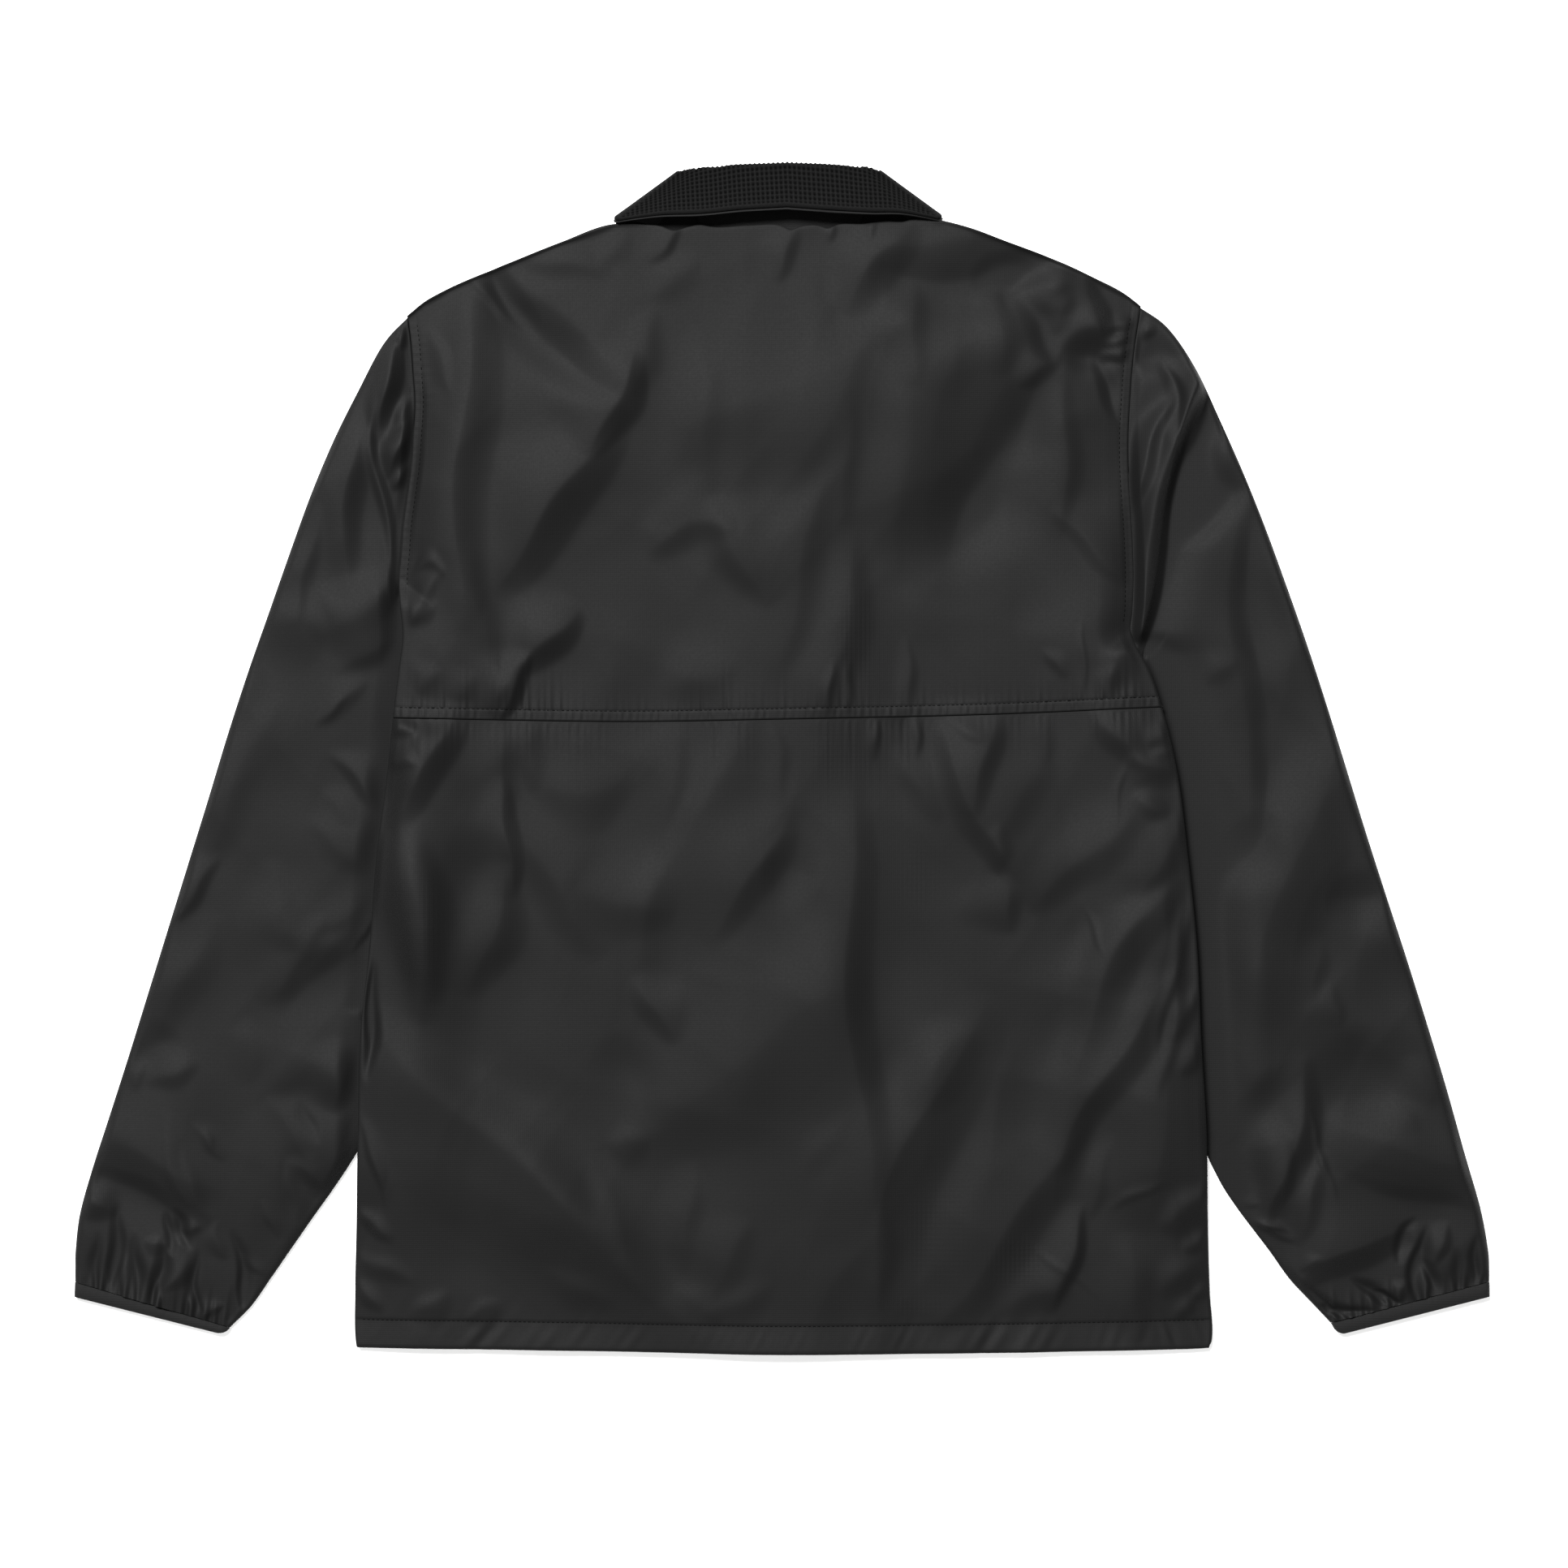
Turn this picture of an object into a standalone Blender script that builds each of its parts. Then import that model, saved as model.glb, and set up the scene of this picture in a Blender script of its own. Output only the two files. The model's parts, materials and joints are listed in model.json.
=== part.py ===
"""Reversible fleece jacket laid flat on a table, back up, sleeves down beside the body.

Sizes are millimetres, turned into metres when a mesh is made. The origin is on the table under the middle of
the jacket, +X is to the right of someone looking down at its back, +Y points to the collar and +Z is up.
"""
import math

import bmesh
import bpy
import numpy as np

MM = 0.001

# Cloth
WALL = 2.4             # nylon shell and fleece together
SEAM = 0.3             # space left between two sewn pieces
ARMHOLE_SEAM = 0.7     # the same between a sleeve and the faceted armhole
LAYER_GAP = 0.7        # air between two panels that lie on each other, at their edges
LOOSE_GAP = 0.9        # what is added to it away from the edges
LOOSE_RUN = 16.0
CROWN = 2.2            # how far the back rises off the front away from its edges
CROWN_RUN = 60.0       # distance from the edge over which it rises
FRONT_TOP = WALL       # upper face of a front that lies on the table

# The sleeves lie under the sides of the body and lift them
SLEEVE_EDGE = 2 * WALL + LAYER_GAP
SIDE_LIFT = SLEEVE_EDGE + 0.9
SIDE_LIFT_FULL = 27.0
SIDE_LIFT_END = 80.0
FRONT_LATER = 2.0      # how much lower down a front is lifted than the back
LIFT_COLUMNS = ("side", "starts", "full", "full_to", "ends")
LIFTS = (
    (-1, 118.0, 97.0, -258.0, -330.0),
    (1, 84.0, 67.0, -266.0, -335.0),
)

# The collar's points lie under the fronts and lift the neck
NECK_LIFT = 3.1
NECK_LIFT_Y = (150.0, 234.0)
NECK_LIFT_X = (124.0, 200.0)

# The front edges overlap, left over right, with snaps between table and cloth
OVERLAP_HALF = 14.0
PLACKET_LIFT = 1.5
OVERLAP_LIFT = PLACKET_LIFT + WALL + SEAM
OVERLAP_RUN = 34.0
OVERLAP_MARGIN = 3.0   # flat cloth beyond the overlap before it slopes down
CENTRE_FLAT = 6.0      # the back stays high this far past the overlap
CENTRE_RUN = 68.0      # and is down again here
CENTRE_FADE_Y = (285.0, 335.0)
SNAP_RADIUS = 6.5
SNAP_HEIGHT = 1.15
SNAP_FLOOR = 0.05
SNAP_BEVEL = 0.35
SNAP_SIDES = 12
SNAP_FIRST_Y = 140.0
SNAP_PITCH = 95.0
SNAP_COUNT = 6

# Back edges: armhole from the shoulder to the armpit, then the side of the body
SIDE_COLUMNS = ("y", "left", "right")
YOKE_SIDES = (
    (296.0, -246.2, 234.5),
    (270.0, -242.7, 230.3),
    (250.0, -241.2, 228.2),
    (232.0, -240.1, 227.0),
    (212.0, -241.2, 226.0),
    (190.0, -242.7, 226.1),
    (170.0, -245.4, 227.2),
    (151.0, -248.0, 228.5),
    (134.0, -249.2, 229.3),
    (117.0, -250.7, 229.7),
    (99.0, -249.5, 229.4),
    (80.0, -248.0, 228.6),
    (56.0, -250.7, 240.0),
    (28.0, -254.1, 249.0),
)
BODY_SIDES = (
    (28.0, -254.1, 249.0),
    (-10.0, -258.0, 257.8),
    (-60.0, -264.6, 264.2),
    (-125.0, -269.7, 270.8),
    (-188.0, -276.0, 273.6),
    (-240.0, -277.0, 276.7),
    (-300.0, -278.2, 277.9),
    (-350.0, -279.4, 279.5),
    (-380.0, -279.0, 280.8),
    (-390.0, -277.6, 279.0),
)
# Lines of points, each x and y
SHOULDER_LEFT = (
    (-245.4, 288.9),
    (-234.3, 297.9),
    (-217.8, 306.9),
    (-200.9, 314.3),
    (-172.0, 326.0),
    (-145.0, 336.6),
    (-109.7, 348.7),
)
SHOULDER_RIGHT = (
    (106.5, 350.2),
    (120.0, 346.6),
    (146.3, 337.1),
    (172.8, 327.5),
    (199.3, 315.9),
    (225.8, 302.1),
    (234.4, 295.2),
)
BACK_NECK = (
    (-109.7, 348.7),
    (-60.0, 346.8),
    (0.0, 347.0),
    (60.0, 349.0),
    (106.5, 350.2),
)
YOKE_SEAM = (
    (-254.1, 25.8),
    (-180.0, 24.4),
    (-110.0, 23.4),
    (0.0, 25.0),
    (150.0, 28.6),
    (248.4, 33.0),
)
HEM = (
    (-277.6, -385.3),
    (-120.0, -387.4),
    (-12.0, -389.4),
    (120.0, -388.8),
    (279.0, -386.0),
)
HEM_STITCH = 0.955     # share of the lower back above the hem's stitching
HEM_STEP = 0.004       # share over which the hem steps up
HEM_RAISE = 0.7        # the turned hem is two cloths thick

# Rows and columns of the panels: where a stretch starts, as a share of the panel, and its number of steps
YOKE_STEPS = 28
LOWER_STEPS = 30
YOKE_ROWS = ((0.0, 7), (0.63, 12), (0.89, 2), (1.0, 0))
LOWER_ROWS = ((0.0, 18), (HEM_STITCH, 1), (HEM_STITCH + HEM_STEP, 1), (0.98, 1), (1.0, 0))
FRONT_ROWS = ((0.0, 7), (0.23, 8), (0.345, 5), (0.79, 5), (0.94, 1), (1.0, 0))
FRONT_COLUMNS = ((0.0, 4), (0.28, 1), (0.47, 4), (0.78, 3), (0.92, 1), (1.0, 0))

# Front necklines, from the shoulder to the front edge
FRONT_NECK_LEFT = (
    (-109.7, 348.7),
    (-95.5, 327.5),
    (-69.5, 296.6),
    (-39.5, 280.4),
    (-10.0, 275.0),
    (14.0, 274.0),
)
FRONT_NECK_RIGHT = (
    (-14.0, 274.0),
    (8.0, 275.0),
    (37.5, 280.4),
    (67.5, 296.6),
    (93.5, 328.5),
    (106.5, 350.2),
)

# Largest folds: a crest from one end to the other, bowed to its left, with a width on each side
FOLD_TAPER = 0.35      # share of a fold over which each end dies away
FOLD_EDGE = 20.0       # folds of the back die away this near its sides
FOLD_COLUMNS = ("x0", "y0", "x1", "y1", "bow", "height", "left", "right")
BACK_FOLDS = (
    (-84.0, 246.0, -186.0, 122.0, -4.0, 8.0, 24.0, 30.0),
    (-192.0, 316.0, -110.0, 240.0, 0.0, 4.5, 18.0, 16.0),
    (-206.0, 286.0, -199.0, 118.0, 4.0, 6.0, 22.0, 24.0),
    (-138.0, 88.0, -180.0, 38.0, 0.0, 5.0, 14.0, 26.0),
    (-60.0, 132.0, -34.0, 40.0, 5.0, 4.5, 20.0, 26.0),
    (46.0, 190.0, 22.0, 48.0, 0.0, 4.5, 18.0, 18.0),
    (66.0, 278.0, 26.0, 150.0, 6.0, 6.5, 36.0, 40.0),
    (176.0, 250.0, 122.0, 130.0, -6.0, 5.0, 30.0, 30.0),
    (202.0, 306.0, 140.0, 262.0, 0.0, 5.0, 16.0, 16.0),
    (190.0, 246.0, 216.0, 110.0, 5.0, 4.0, 16.0, 16.0),
    (-194.0, 20.0, -248.0, -40.0, 0.0, 4.5, 14.0, 20.0),
    (-188.0, 20.0, -180.0, -96.0, 3.0, 4.5, 16.0, 18.0),
    (-16.0, -44.0, -48.0, -98.0, 0.0, 5.0, 16.0, 20.0),
    (38.0, -40.0, 44.0, -196.0, -4.0, 5.0, 28.0, 30.0),
    (-226.0, -168.0, -96.0, -350.0, 12.0, 5.5, 34.0, 30.0),
    (36.0, -160.0, -72.0, -216.0, 6.0, 5.0, 22.0, 24.0),
    (128.0, -182.0, 62.0, -340.0, -14.0, 7.0, 26.0, 28.0),
    (242.0, -154.0, 142.0, -344.0, -10.0, 7.0, 26.0, 28.0),
)
LEFT_SLEEVE_FOLDS = (
    (-262.0, 276.0, -254.0, 118.0, -9.0, 5.0, 14.0, 12.0),
    (-258.0, 112.0, -330.0, 84.0, 4.0, 4.5, 26.0, 22.0),
    (-290.0, 20.0, -250.0, -50.0, 4.0, 3.5, 18.0, 18.0),
    (-285.0, -196.0, -440.0, -262.0, 8.0, 5.0, 24.0, 20.0),
)
RIGHT_SLEEVE_FOLDS = (
    (272.0, 246.0, 236.0, 86.0, -3.0, 7.5, 6.0, 24.0),
    (318.0, 138.0, 262.0, 20.0, -6.0, 4.0, 20.0, 24.0),
    (356.0, -10.0, 312.0, -210.0, 6.0, 4.5, 26.0, 26.0),
    (330.0, -300.0, 444.0, -268.0, 6.0, 5.0, 20.0, 22.0),
)

# Sleeve sections from the armhole to the cuff: where each meets the outer and the inner edge
SLEEVE_COLUMNS = ("outer_x", "outer_y", "inner_x", "inner_y")
LEFT_SLEEVE = (
    (-245.9, 288.6, -251.0, 117.0),
    (-260.5, 271.5, -252.4, 104.0),
    (-277.0, 241.0, -252.2, 88.0),
    (-293.0, 209.0, -250.4, 66.0),
    (-308.0, 173.5, -247.0, 36.0),
    (-322.0, 135.0, -245.0, 2.0),
    (-336.0, 95.0, -244.5, -36.0),
    (-349.5, 56.5, -245.5, -76.0),
    (-363.0, 15.0, -248.0, -116.0),
    (-376.0, -28.0, -251.5, -154.0),
    (-389.0, -70.0, -256.0, -190.0),
    (-402.0, -112.0, -262.5, -222.0),
    (-415.0, -154.0, -271.5, -246.0),
    (-428.0, -196.0, -282.5, -265.0),
    (-440.5, -235.0, -294.5, -283.0),
    (-451.5, -269.0, -307.0, -300.5),
    (-459.5, -298.0, -319.5, -318.5),
    (-462.3, -321.0, -334.0, -339.5),
    (-462.6, -334.0, -347.0, -358.0),
    (-462.6, -342.4, -361.0, -372.2),
)
RIGHT_SLEEVE = (
    (234.9, 294.9, 229.0, 79.8),
    (252.0, 281.5, 236.6, 70.0),
    (270.0, 255.5, 241.6, 56.0),
    (286.5, 220.5, 243.0, 36.0),
    (302.0, 185.5, 243.0, 8.0),
    (316.0, 150.5, 244.0, -24.0),
    (329.5, 113.5, 246.0, -60.0),
    (343.0, 75.0, 249.0, -98.0),
    (356.0, 35.0, 252.0, -136.0),
    (369.0, -7.0, 255.0, -171.0),
    (382.0, -49.5, 260.0, -205.0),
    (395.0, -90.0, 267.5, -234.0),
    (408.0, -130.0, 277.0, -258.0),
    (421.0, -171.5, 287.0, -278.5),
    (434.0, -214.5, 297.5, -294.5),
    (446.0, -257.5, 308.0, -308.5),
    (456.5, -294.0, 319.0, -323.0),
    (461.5, -321.0, 331.5, -340.5),
    (462.3, -334.5, 346.0, -356.0),
    (462.3, -342.2, 358.5, -369.2),
)
SLEEVE_ROWS = 23
SLEEVE_CROWN = 3.2
SLEEVE_RISE = (2.0, 26.0)   # distance from the body's edge over which a sleeve rises to its full form
SLEEVE_BOW_ROWS = 0.4      # share of the sleeve over which the armhole's curve fades
TOP_STEPS = 12             # steps over the top of a section
BOTTOM_STEPS = 6           # steps under it
EDGE_STEPS = ((0.35, 0.75), (1.0, 1.0))  # rounded edge: share of the radius in, share of the height up
INNER_ROUND = 0.6          # radius of the hollow's edges
BOW_ENDS = 0.05            # share of a section at each end that stays on its edge point
CROWN_START = 0.15         # shares of the sleeve between which its crown and folds are full
CROWN_STOP = 0.88
FOLD_START = 0.06
FOLD_LENS = 0.5            # how quickly folds and gathers come in from the sleeve's edges
GATHER_LENS = 0.25
GATHERS = 21               # small pleats drawn in by each cuff, on the side that shows
GATHER_DRIFT = 0.009       # how unevenly they are spaced
GATHER_BEATS = 2.3
GATHER_STEPS = 4
GATHER_ROWS = 4
GATHER_HEIGHT = 2.0
GATHER_RUN = 0.10          # share of the sleeve over which the gathers die away

# Elastic binding round each cuff, as lines from the outer to the inner edge of the sleeve
CUFF_COLUMNS = ("top_outer_x", "top_outer_y", "top_inner_x", "top_inner_y",
                "end_outer_x", "end_outer_y", "end_inner_x", "end_inner_y")
CUFFS = {
    "left": (-462.7, -342.8, -361.2, -372.6, -463.1, -352.2, -364.8, -377.0),
    "right": (462.4, -342.6, 358.9, -369.6, 462.6, -352.0, 362.6, -377.4),
}
CUFF_HEIGHT = 6.4
CUFF_WALL = 1.8
CUFF_ROWS = 3
CUFF_SWELL = 0.4

# Collar sections from the middle of the back to a front: roll, free edge, neck seam, turn round the neck,
# how far the free edge stands up, and the steps to the next section
COLLAR_COLUMNS = ("roll_x", "roll_y", "edge_x", "edge_y", "neck_x", "neck_y", "turn", "edge_lift", "steps")
COLLAR_LEFT = (
    (3.0, 386.9, 3.0, 359.8, 3.0, 348.6, 0.0, 4.2, 2),
    (-24.0, 385.6, -27.0, 358.0, -29.0, 348.6, 0.0, 4.4, 2),
    (-43.0, 384.2, -53.0, 355.6, -57.0, 348.6, 0.0, 4.4, 2),
    (-57.0, 381.8, -80.0, 354.4, -82.0, 349.4, 0.0, 3.4, 2),
    (-66.0, 377.6, -103.0, 351.4, -100.0, 350.8, 0.0, 0.8, 5),
    (-66.6, 377.4, -104.4, 351.0, -101.6, 350.8, 180.0, 0.0, 2),
    (-58.0, 352.0, -113.0, 318.0, -91.0, 330.0, 180.0, 0.0, 2),
    (-42.0, 318.0, -102.0, 280.0, -65.0, 300.5, 180.0, 0.0, 2),
    (-24.0, 296.0, -76.0, 252.0, -36.5, 284.6, 180.0, 0.0, 2),
    (-6.0, 284.0, -42.0, 238.0, -8.6, 278.6, 180.0, 0.0, 0),
)
COLLAR_RIGHT = (
    (3.0, 386.9, 3.0, 359.8, 3.0, 348.6, 0.0, 4.2, 2),
    (28.0, 385.6, 30.0, 357.6, 31.0, 350.2, 0.0, 4.4, 2),
    (46.0, 384.2, 56.0, 356.2, 58.0, 351.0, 0.0, 4.4, 2),
    (56.0, 382.2, 78.0, 355.8, 80.0, 351.8, 0.0, 3.4, 2),
    (61.4, 377.6, 97.6, 353.2, 95.0, 353.0, 0.0, 0.8, 5),
    (61.8, 377.2, 99.0, 353.0, 96.4, 353.0, 180.0, 0.0, 2),
    (54.0, 352.0, 108.0, 319.0, 89.0, 331.0, 180.0, 0.0, 2),
    (40.0, 318.0, 99.0, 280.0, 63.0, 300.5, 180.0, 0.0, 2),
    (22.0, 296.0, 74.0, 252.0, 34.5, 284.6, 180.0, 0.0, 2),
    (4.0, 284.0, 40.0, 238.0, 6.6, 278.6, 180.0, 0.0, 0),
)
COLLAR_MIDDLE = 5.9        # height of the flattened neck ring's middle
COLLAR_STAND = 1.6         # middle of the stand's wall from that middle
COLLAR_STACK = 3.0         # fall over stand
COLLAR_STAND_STEPS = 2
COLLAR_ROLL_STEPS = 3
COLLAR_FALL_STEPS = 3

MATERIALS = {
    "nylon_shell": ((0.028, 0.028, 0.029, 1.0), 0.45, 0.0),
    "grid_fleece": ((0.012, 0.012, 0.013, 1.0), 0.9, 0.0),
    "elastic_binding": ((0.024, 0.024, 0.025, 1.0), 0.7, 0.0),
    "lacquered_snap": ((0.02, 0.02, 0.02, 1.0), 0.35, 0.9),
}


def clear_scene():
    for item in list(bpy.data.objects):
        bpy.data.objects.remove(item, do_unlink=True)


def make_material(name):
    colour, roughness, metallic = MATERIALS[name]
    material = bpy.data.materials.new(name)
    material.use_nodes = True
    shader = material.node_tree.nodes["Principled BSDF"]
    shader.inputs["Base Color"].default_value = colour
    shader.inputs["Roughness"].default_value = roughness
    shader.inputs["Metallic"].default_value = metallic
    material.diffuse_color = colour
    return material


def ease(value, low, high):
    share = np.clip((np.asarray(value, float) - low) / (high - low), 0.0, 1.0)
    return share * share * (3.0 - 2.0 * share)


def smooth_through(at, known, values):
    """A smooth curve through a table's rows, read at the places asked for."""
    at = np.asarray(at, float)
    known = np.asarray(known, float)
    values = np.asarray(values, float)
    slopes = np.gradient(values, known)
    last = np.clip(np.searchsorted(known, at, side="right") - 1, 0, len(known) - 2)
    span = known[last + 1] - known[last]
    share = np.clip((at - known[last]) / span, 0.0, 1.0)
    square, cube = share ** 2, share ** 3
    return ((2 * cube - 3 * square + 1) * values[last]
            + (cube - 2 * square + share) * span * slopes[last]
            + (3 * square - 2 * cube) * values[last + 1]
            + (cube - square) * span * slopes[last + 1])


def along(points, shares):
    """Points at shares of the length of a line through the table's points."""
    points = np.asarray(points, float)
    lengths = np.hypot(*np.diff(points, axis=0).T)
    reach = np.concatenate([[0.0], np.cumsum(lengths)])
    reach /= reach[-1]
    return np.stack([smooth_through(shares, reach, points[:, k]) for k in range(2)], axis=-1)


def side_x(y, side):
    """X of the body's edge at height y; side is -1 for left and 1 for right."""
    table = np.array(YOKE_SIDES[:-1] + BODY_SIDES)[::-1]
    column = SIDE_COLUMNS.index("left" if side < 0 else "right")
    return smooth_through(y, table[:, 0], table[:, column])


def spread(table):
    """Shares from a table of starts and steps."""
    shares = []
    for (start, steps), (end, _) in zip(table, table[1:]):
        shares.extend(start + (end - start) * step / steps for step in range(steps))
    return np.array(shares + [table[-1][0]])


def span_sheet(top, bottom, left, right, across, down):
    """A sheet of points spanned between four edge lines that share their corners."""
    s = across[None, :, None]
    t = down[:, None, None]
    rows = (1 - t) * top[None] + t * bottom[None]
    columns = (1 - s) * left[:, None] + s * right[:, None]
    corners = ((1 - s) * (1 - t) * top[0] + s * (1 - t) * top[-1]
               + (1 - s) * t * bottom[0] + s * t * bottom[-1])
    return rows + columns - corners


def fold_height(x, y, folds):
    """Sum of the folds' heights; each has a crest line and its own width on either side."""
    total = np.zeros_like(x)
    for row in folds:
        fold = dict(zip(FOLD_COLUMNS, row))
        run_x, run_y = fold["x1"] - fold["x0"], fold["y1"] - fold["y0"]
        length = math.hypot(run_x, run_y)
        along_x, along_y = run_x / length, run_y / length
        share = ((x - fold["x0"]) * along_x + (y - fold["y0"]) * along_y) / length
        inside = np.clip(share, 0.0, 1.0)
        off = (y - fold["y0"]) * along_x - (x - fold["x0"]) * along_y
        off = off - fold["bow"] * 4 * inside * (1 - inside)
        width = np.where(off > 0, fold["left"], fold["right"])
        profile = 0.5 + 0.5 * np.cos(np.pi * np.clip(np.abs(off) / width, 0.0, 1.0))
        taper = ease(share, 0.0, FOLD_TAPER) * ease(1.0 - share, 0.0, FOLD_TAPER)
        total += fold["height"] * profile * taper
    return total


def side_lift(x, y):
    """How far the sleeves lift the body along its sides."""
    total = np.zeros_like(x)
    for row in LIFTS:
        lift = dict(zip(LIFT_COLUMNS, row))
        inside = np.abs(x - side_x(y, lift["side"]))
        window = (1 - ease(y, lift["full"], lift["starts"])) * ease(y, lift["ends"], lift["full_to"])
        total += SIDE_LIFT * window * (1 - ease(inside, SIDE_LIFT_FULL, SIDE_LIFT_END))
    return total


def neck_lift(x, y):
    """How far the collar's points lift the neck."""
    return NECK_LIFT * ease(y, *NECK_LIFT_Y) * (1 - ease(np.abs(x), *NECK_LIFT_X))


def back_outside(x, y, hem_share):
    """Height of the back's outer face."""
    middle = np.clip(np.abs(x) - OVERLAP_HALF, 0.0, None)
    centre = OVERLAP_LIFT * (1 - ease(middle, CENTRE_FLAT, CENTRE_RUN)) * (1 - ease(y, *CENTRE_FADE_Y))
    from_edge = np.minimum(np.abs(x - side_x(y, -1)), np.abs(side_x(y, 1) - x))
    crown = CROWN * ease(from_edge, 0.0, CROWN_RUN) * (1 - ease(y, *CENTRE_FADE_Y))
    folds = ease(from_edge, 0.0, FOLD_EDGE) * fold_height(x, y, BACK_FOLDS)
    hem = HEM_RAISE * ease(hem_share, HEM_STITCH, HEM_STITCH + HEM_STEP)
    loose = LAYER_GAP + LOOSE_GAP * ease(from_edge, 0.0, LOOSE_RUN)
    return FRONT_TOP + loose + side_lift(x, y) + neck_lift(x, y) + centre + crown + folds + hem + WALL


def front_inside(x, y, side):
    """Height of a front's upper, inner face; the right front's edge lies on the left front's."""
    if side < 0:
        from_flat = -OVERLAP_HALF - OVERLAP_MARGIN - x
        overlap = PLACKET_LIFT * (1 - ease(from_flat, 0.0, OVERLAP_RUN))
    else:
        from_flat = x - OVERLAP_HALF - OVERLAP_MARGIN
        overlap = OVERLAP_LIFT * (1 - ease(from_flat, 0.0, OVERLAP_RUN))
    return FRONT_TOP + side_lift(x, y + FRONT_LATER) + neck_lift(x, y) + overlap


def add_object(name, mesh, material, collection):
    for polygon in mesh.polygons:
        polygon.use_smooth = True
    thing = bpy.data.objects.new(name, mesh)
    thing.data.materials.append(material)
    collection.objects.link(thing)
    return thing


def cloth_sheet(name, points, material, collection):
    """A wall of cloth: a grid laid through the points, thickened away from its upper side."""
    down, across = points.shape[:2]
    work = bmesh.new()
    bmesh.ops.create_grid(work, x_segments=across - 1, y_segments=down - 1, size=1.0)
    for vertex in work.verts:
        column = round((vertex.co.x + 1) / 2 * (across - 1))
        row = round((1 - vertex.co.y) / 2 * (down - 1))
        vertex.co = points[row, column] * MM
    mesh = bpy.data.meshes.new(name)
    work.to_mesh(mesh)
    work.free()
    thing = add_object(name, mesh, material, collection)
    wall = thing.modifiers.new("wall", "SOLIDIFY")
    wall.thickness = WALL * MM
    wall.offset = -1.0
    return thing


def side_line(top_y, bottom_y, side, shares):
    y = top_y + (bottom_y - top_y) * shares
    return np.stack([side_x(y, side), y], axis=-1)


def with_corners(line, first, last):
    line[0] = first
    line[-1] = last
    return line


def back_yoke(material, collection):
    across = np.linspace(0.0, 1.0, YOKE_STEPS + 1)
    down = spread(YOKE_ROWS)
    top = along(SHOULDER_LEFT[:-1] + BACK_NECK + SHOULDER_RIGHT[1:], across)
    bottom = along(YOKE_SEAM, across) + (0.0, SEAM)
    left = with_corners(side_line(top[0][1], bottom[0][1], -1, down), top[0], bottom[0])
    right = with_corners(side_line(top[-1][1], bottom[-1][1], 1, down), top[-1], bottom[-1])
    plan = span_sheet(top, bottom, left, right, across, down)
    x, y = plan[..., 0], plan[..., 1]
    z = back_outside(x, y, np.zeros_like(x))
    return cloth_sheet("back_yoke", np.stack([x, y, z], axis=-1), material, collection)


def back_lower(material, collection):
    across = np.linspace(0.0, 1.0, LOWER_STEPS + 1)
    down = spread(LOWER_ROWS)
    top = along(YOKE_SEAM, across)
    bottom = along(HEM, across)
    left = with_corners(side_line(top[0][1], bottom[0][1], -1, down), top[0], bottom[0])
    right = with_corners(side_line(top[-1][1], bottom[-1][1], 1, down), top[-1], bottom[-1])
    plan = span_sheet(top, bottom, left, right, across, down)
    x, y = plan[..., 0], plan[..., 1]
    z = back_outside(x, y, np.repeat(down[:, None], len(across), axis=1))
    return cloth_sheet("back_lower", np.stack([x, y, z], axis=-1), material, collection)


def front(name, side, material, collection):
    across = spread(FRONT_COLUMNS) if side < 0 else 1.0 - spread(FRONT_COLUMNS)[::-1]
    down = spread(FRONT_ROWS)
    edge = -side * OVERLAP_HALF
    if side < 0:
        top = along(SHOULDER_LEFT[:-1] + FRONT_NECK_LEFT, across)
        hem_ends = (HEM[0], (edge, HEM[2][1]))
    else:
        top = along(FRONT_NECK_RIGHT + SHOULDER_RIGHT[1:], across)
        hem_ends = ((edge, HEM[2][1]), HEM[-1])
    bottom = along(hem_ends, across)
    straight = np.stack([np.full_like(down, edge), top[-1 if side < 0 else 0][1]
                         + (HEM[2][1] - top[-1 if side < 0 else 0][1]) * down], axis=-1)
    outer_top = top[0 if side < 0 else -1]
    outer_bottom = bottom[0 if side < 0 else -1]
    outer = with_corners(side_line(outer_top[1], outer_bottom[1], side, down), outer_top, outer_bottom)
    left, right = (outer, straight) if side < 0 else (straight, outer)
    plan = span_sheet(top, bottom, left, right, across, down)
    x, y = plan[..., 0], plan[..., 1]
    z = front_inside(x, y, side)
    return cloth_sheet(name, np.stack([x, y, z], axis=-1), material, collection)


def bridge(faces, first, second):
    """Triangles between two rows of points that may differ in number."""
    a, b = 0, 0
    while a < len(first) - 1 or b < len(second) - 1:
        next_a = (a + 1) / (len(first) - 1)
        next_b = (b + 1) / (len(second) - 1)
        if a < len(first) - 1 and (b == len(second) - 1 or next_a <= next_b):
            faces.append((first[a], first[a + 1], second[b]))
            a += 1
        else:
            faces.append((first[a], second[b + 1], second[b]))
            b += 1


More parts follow.
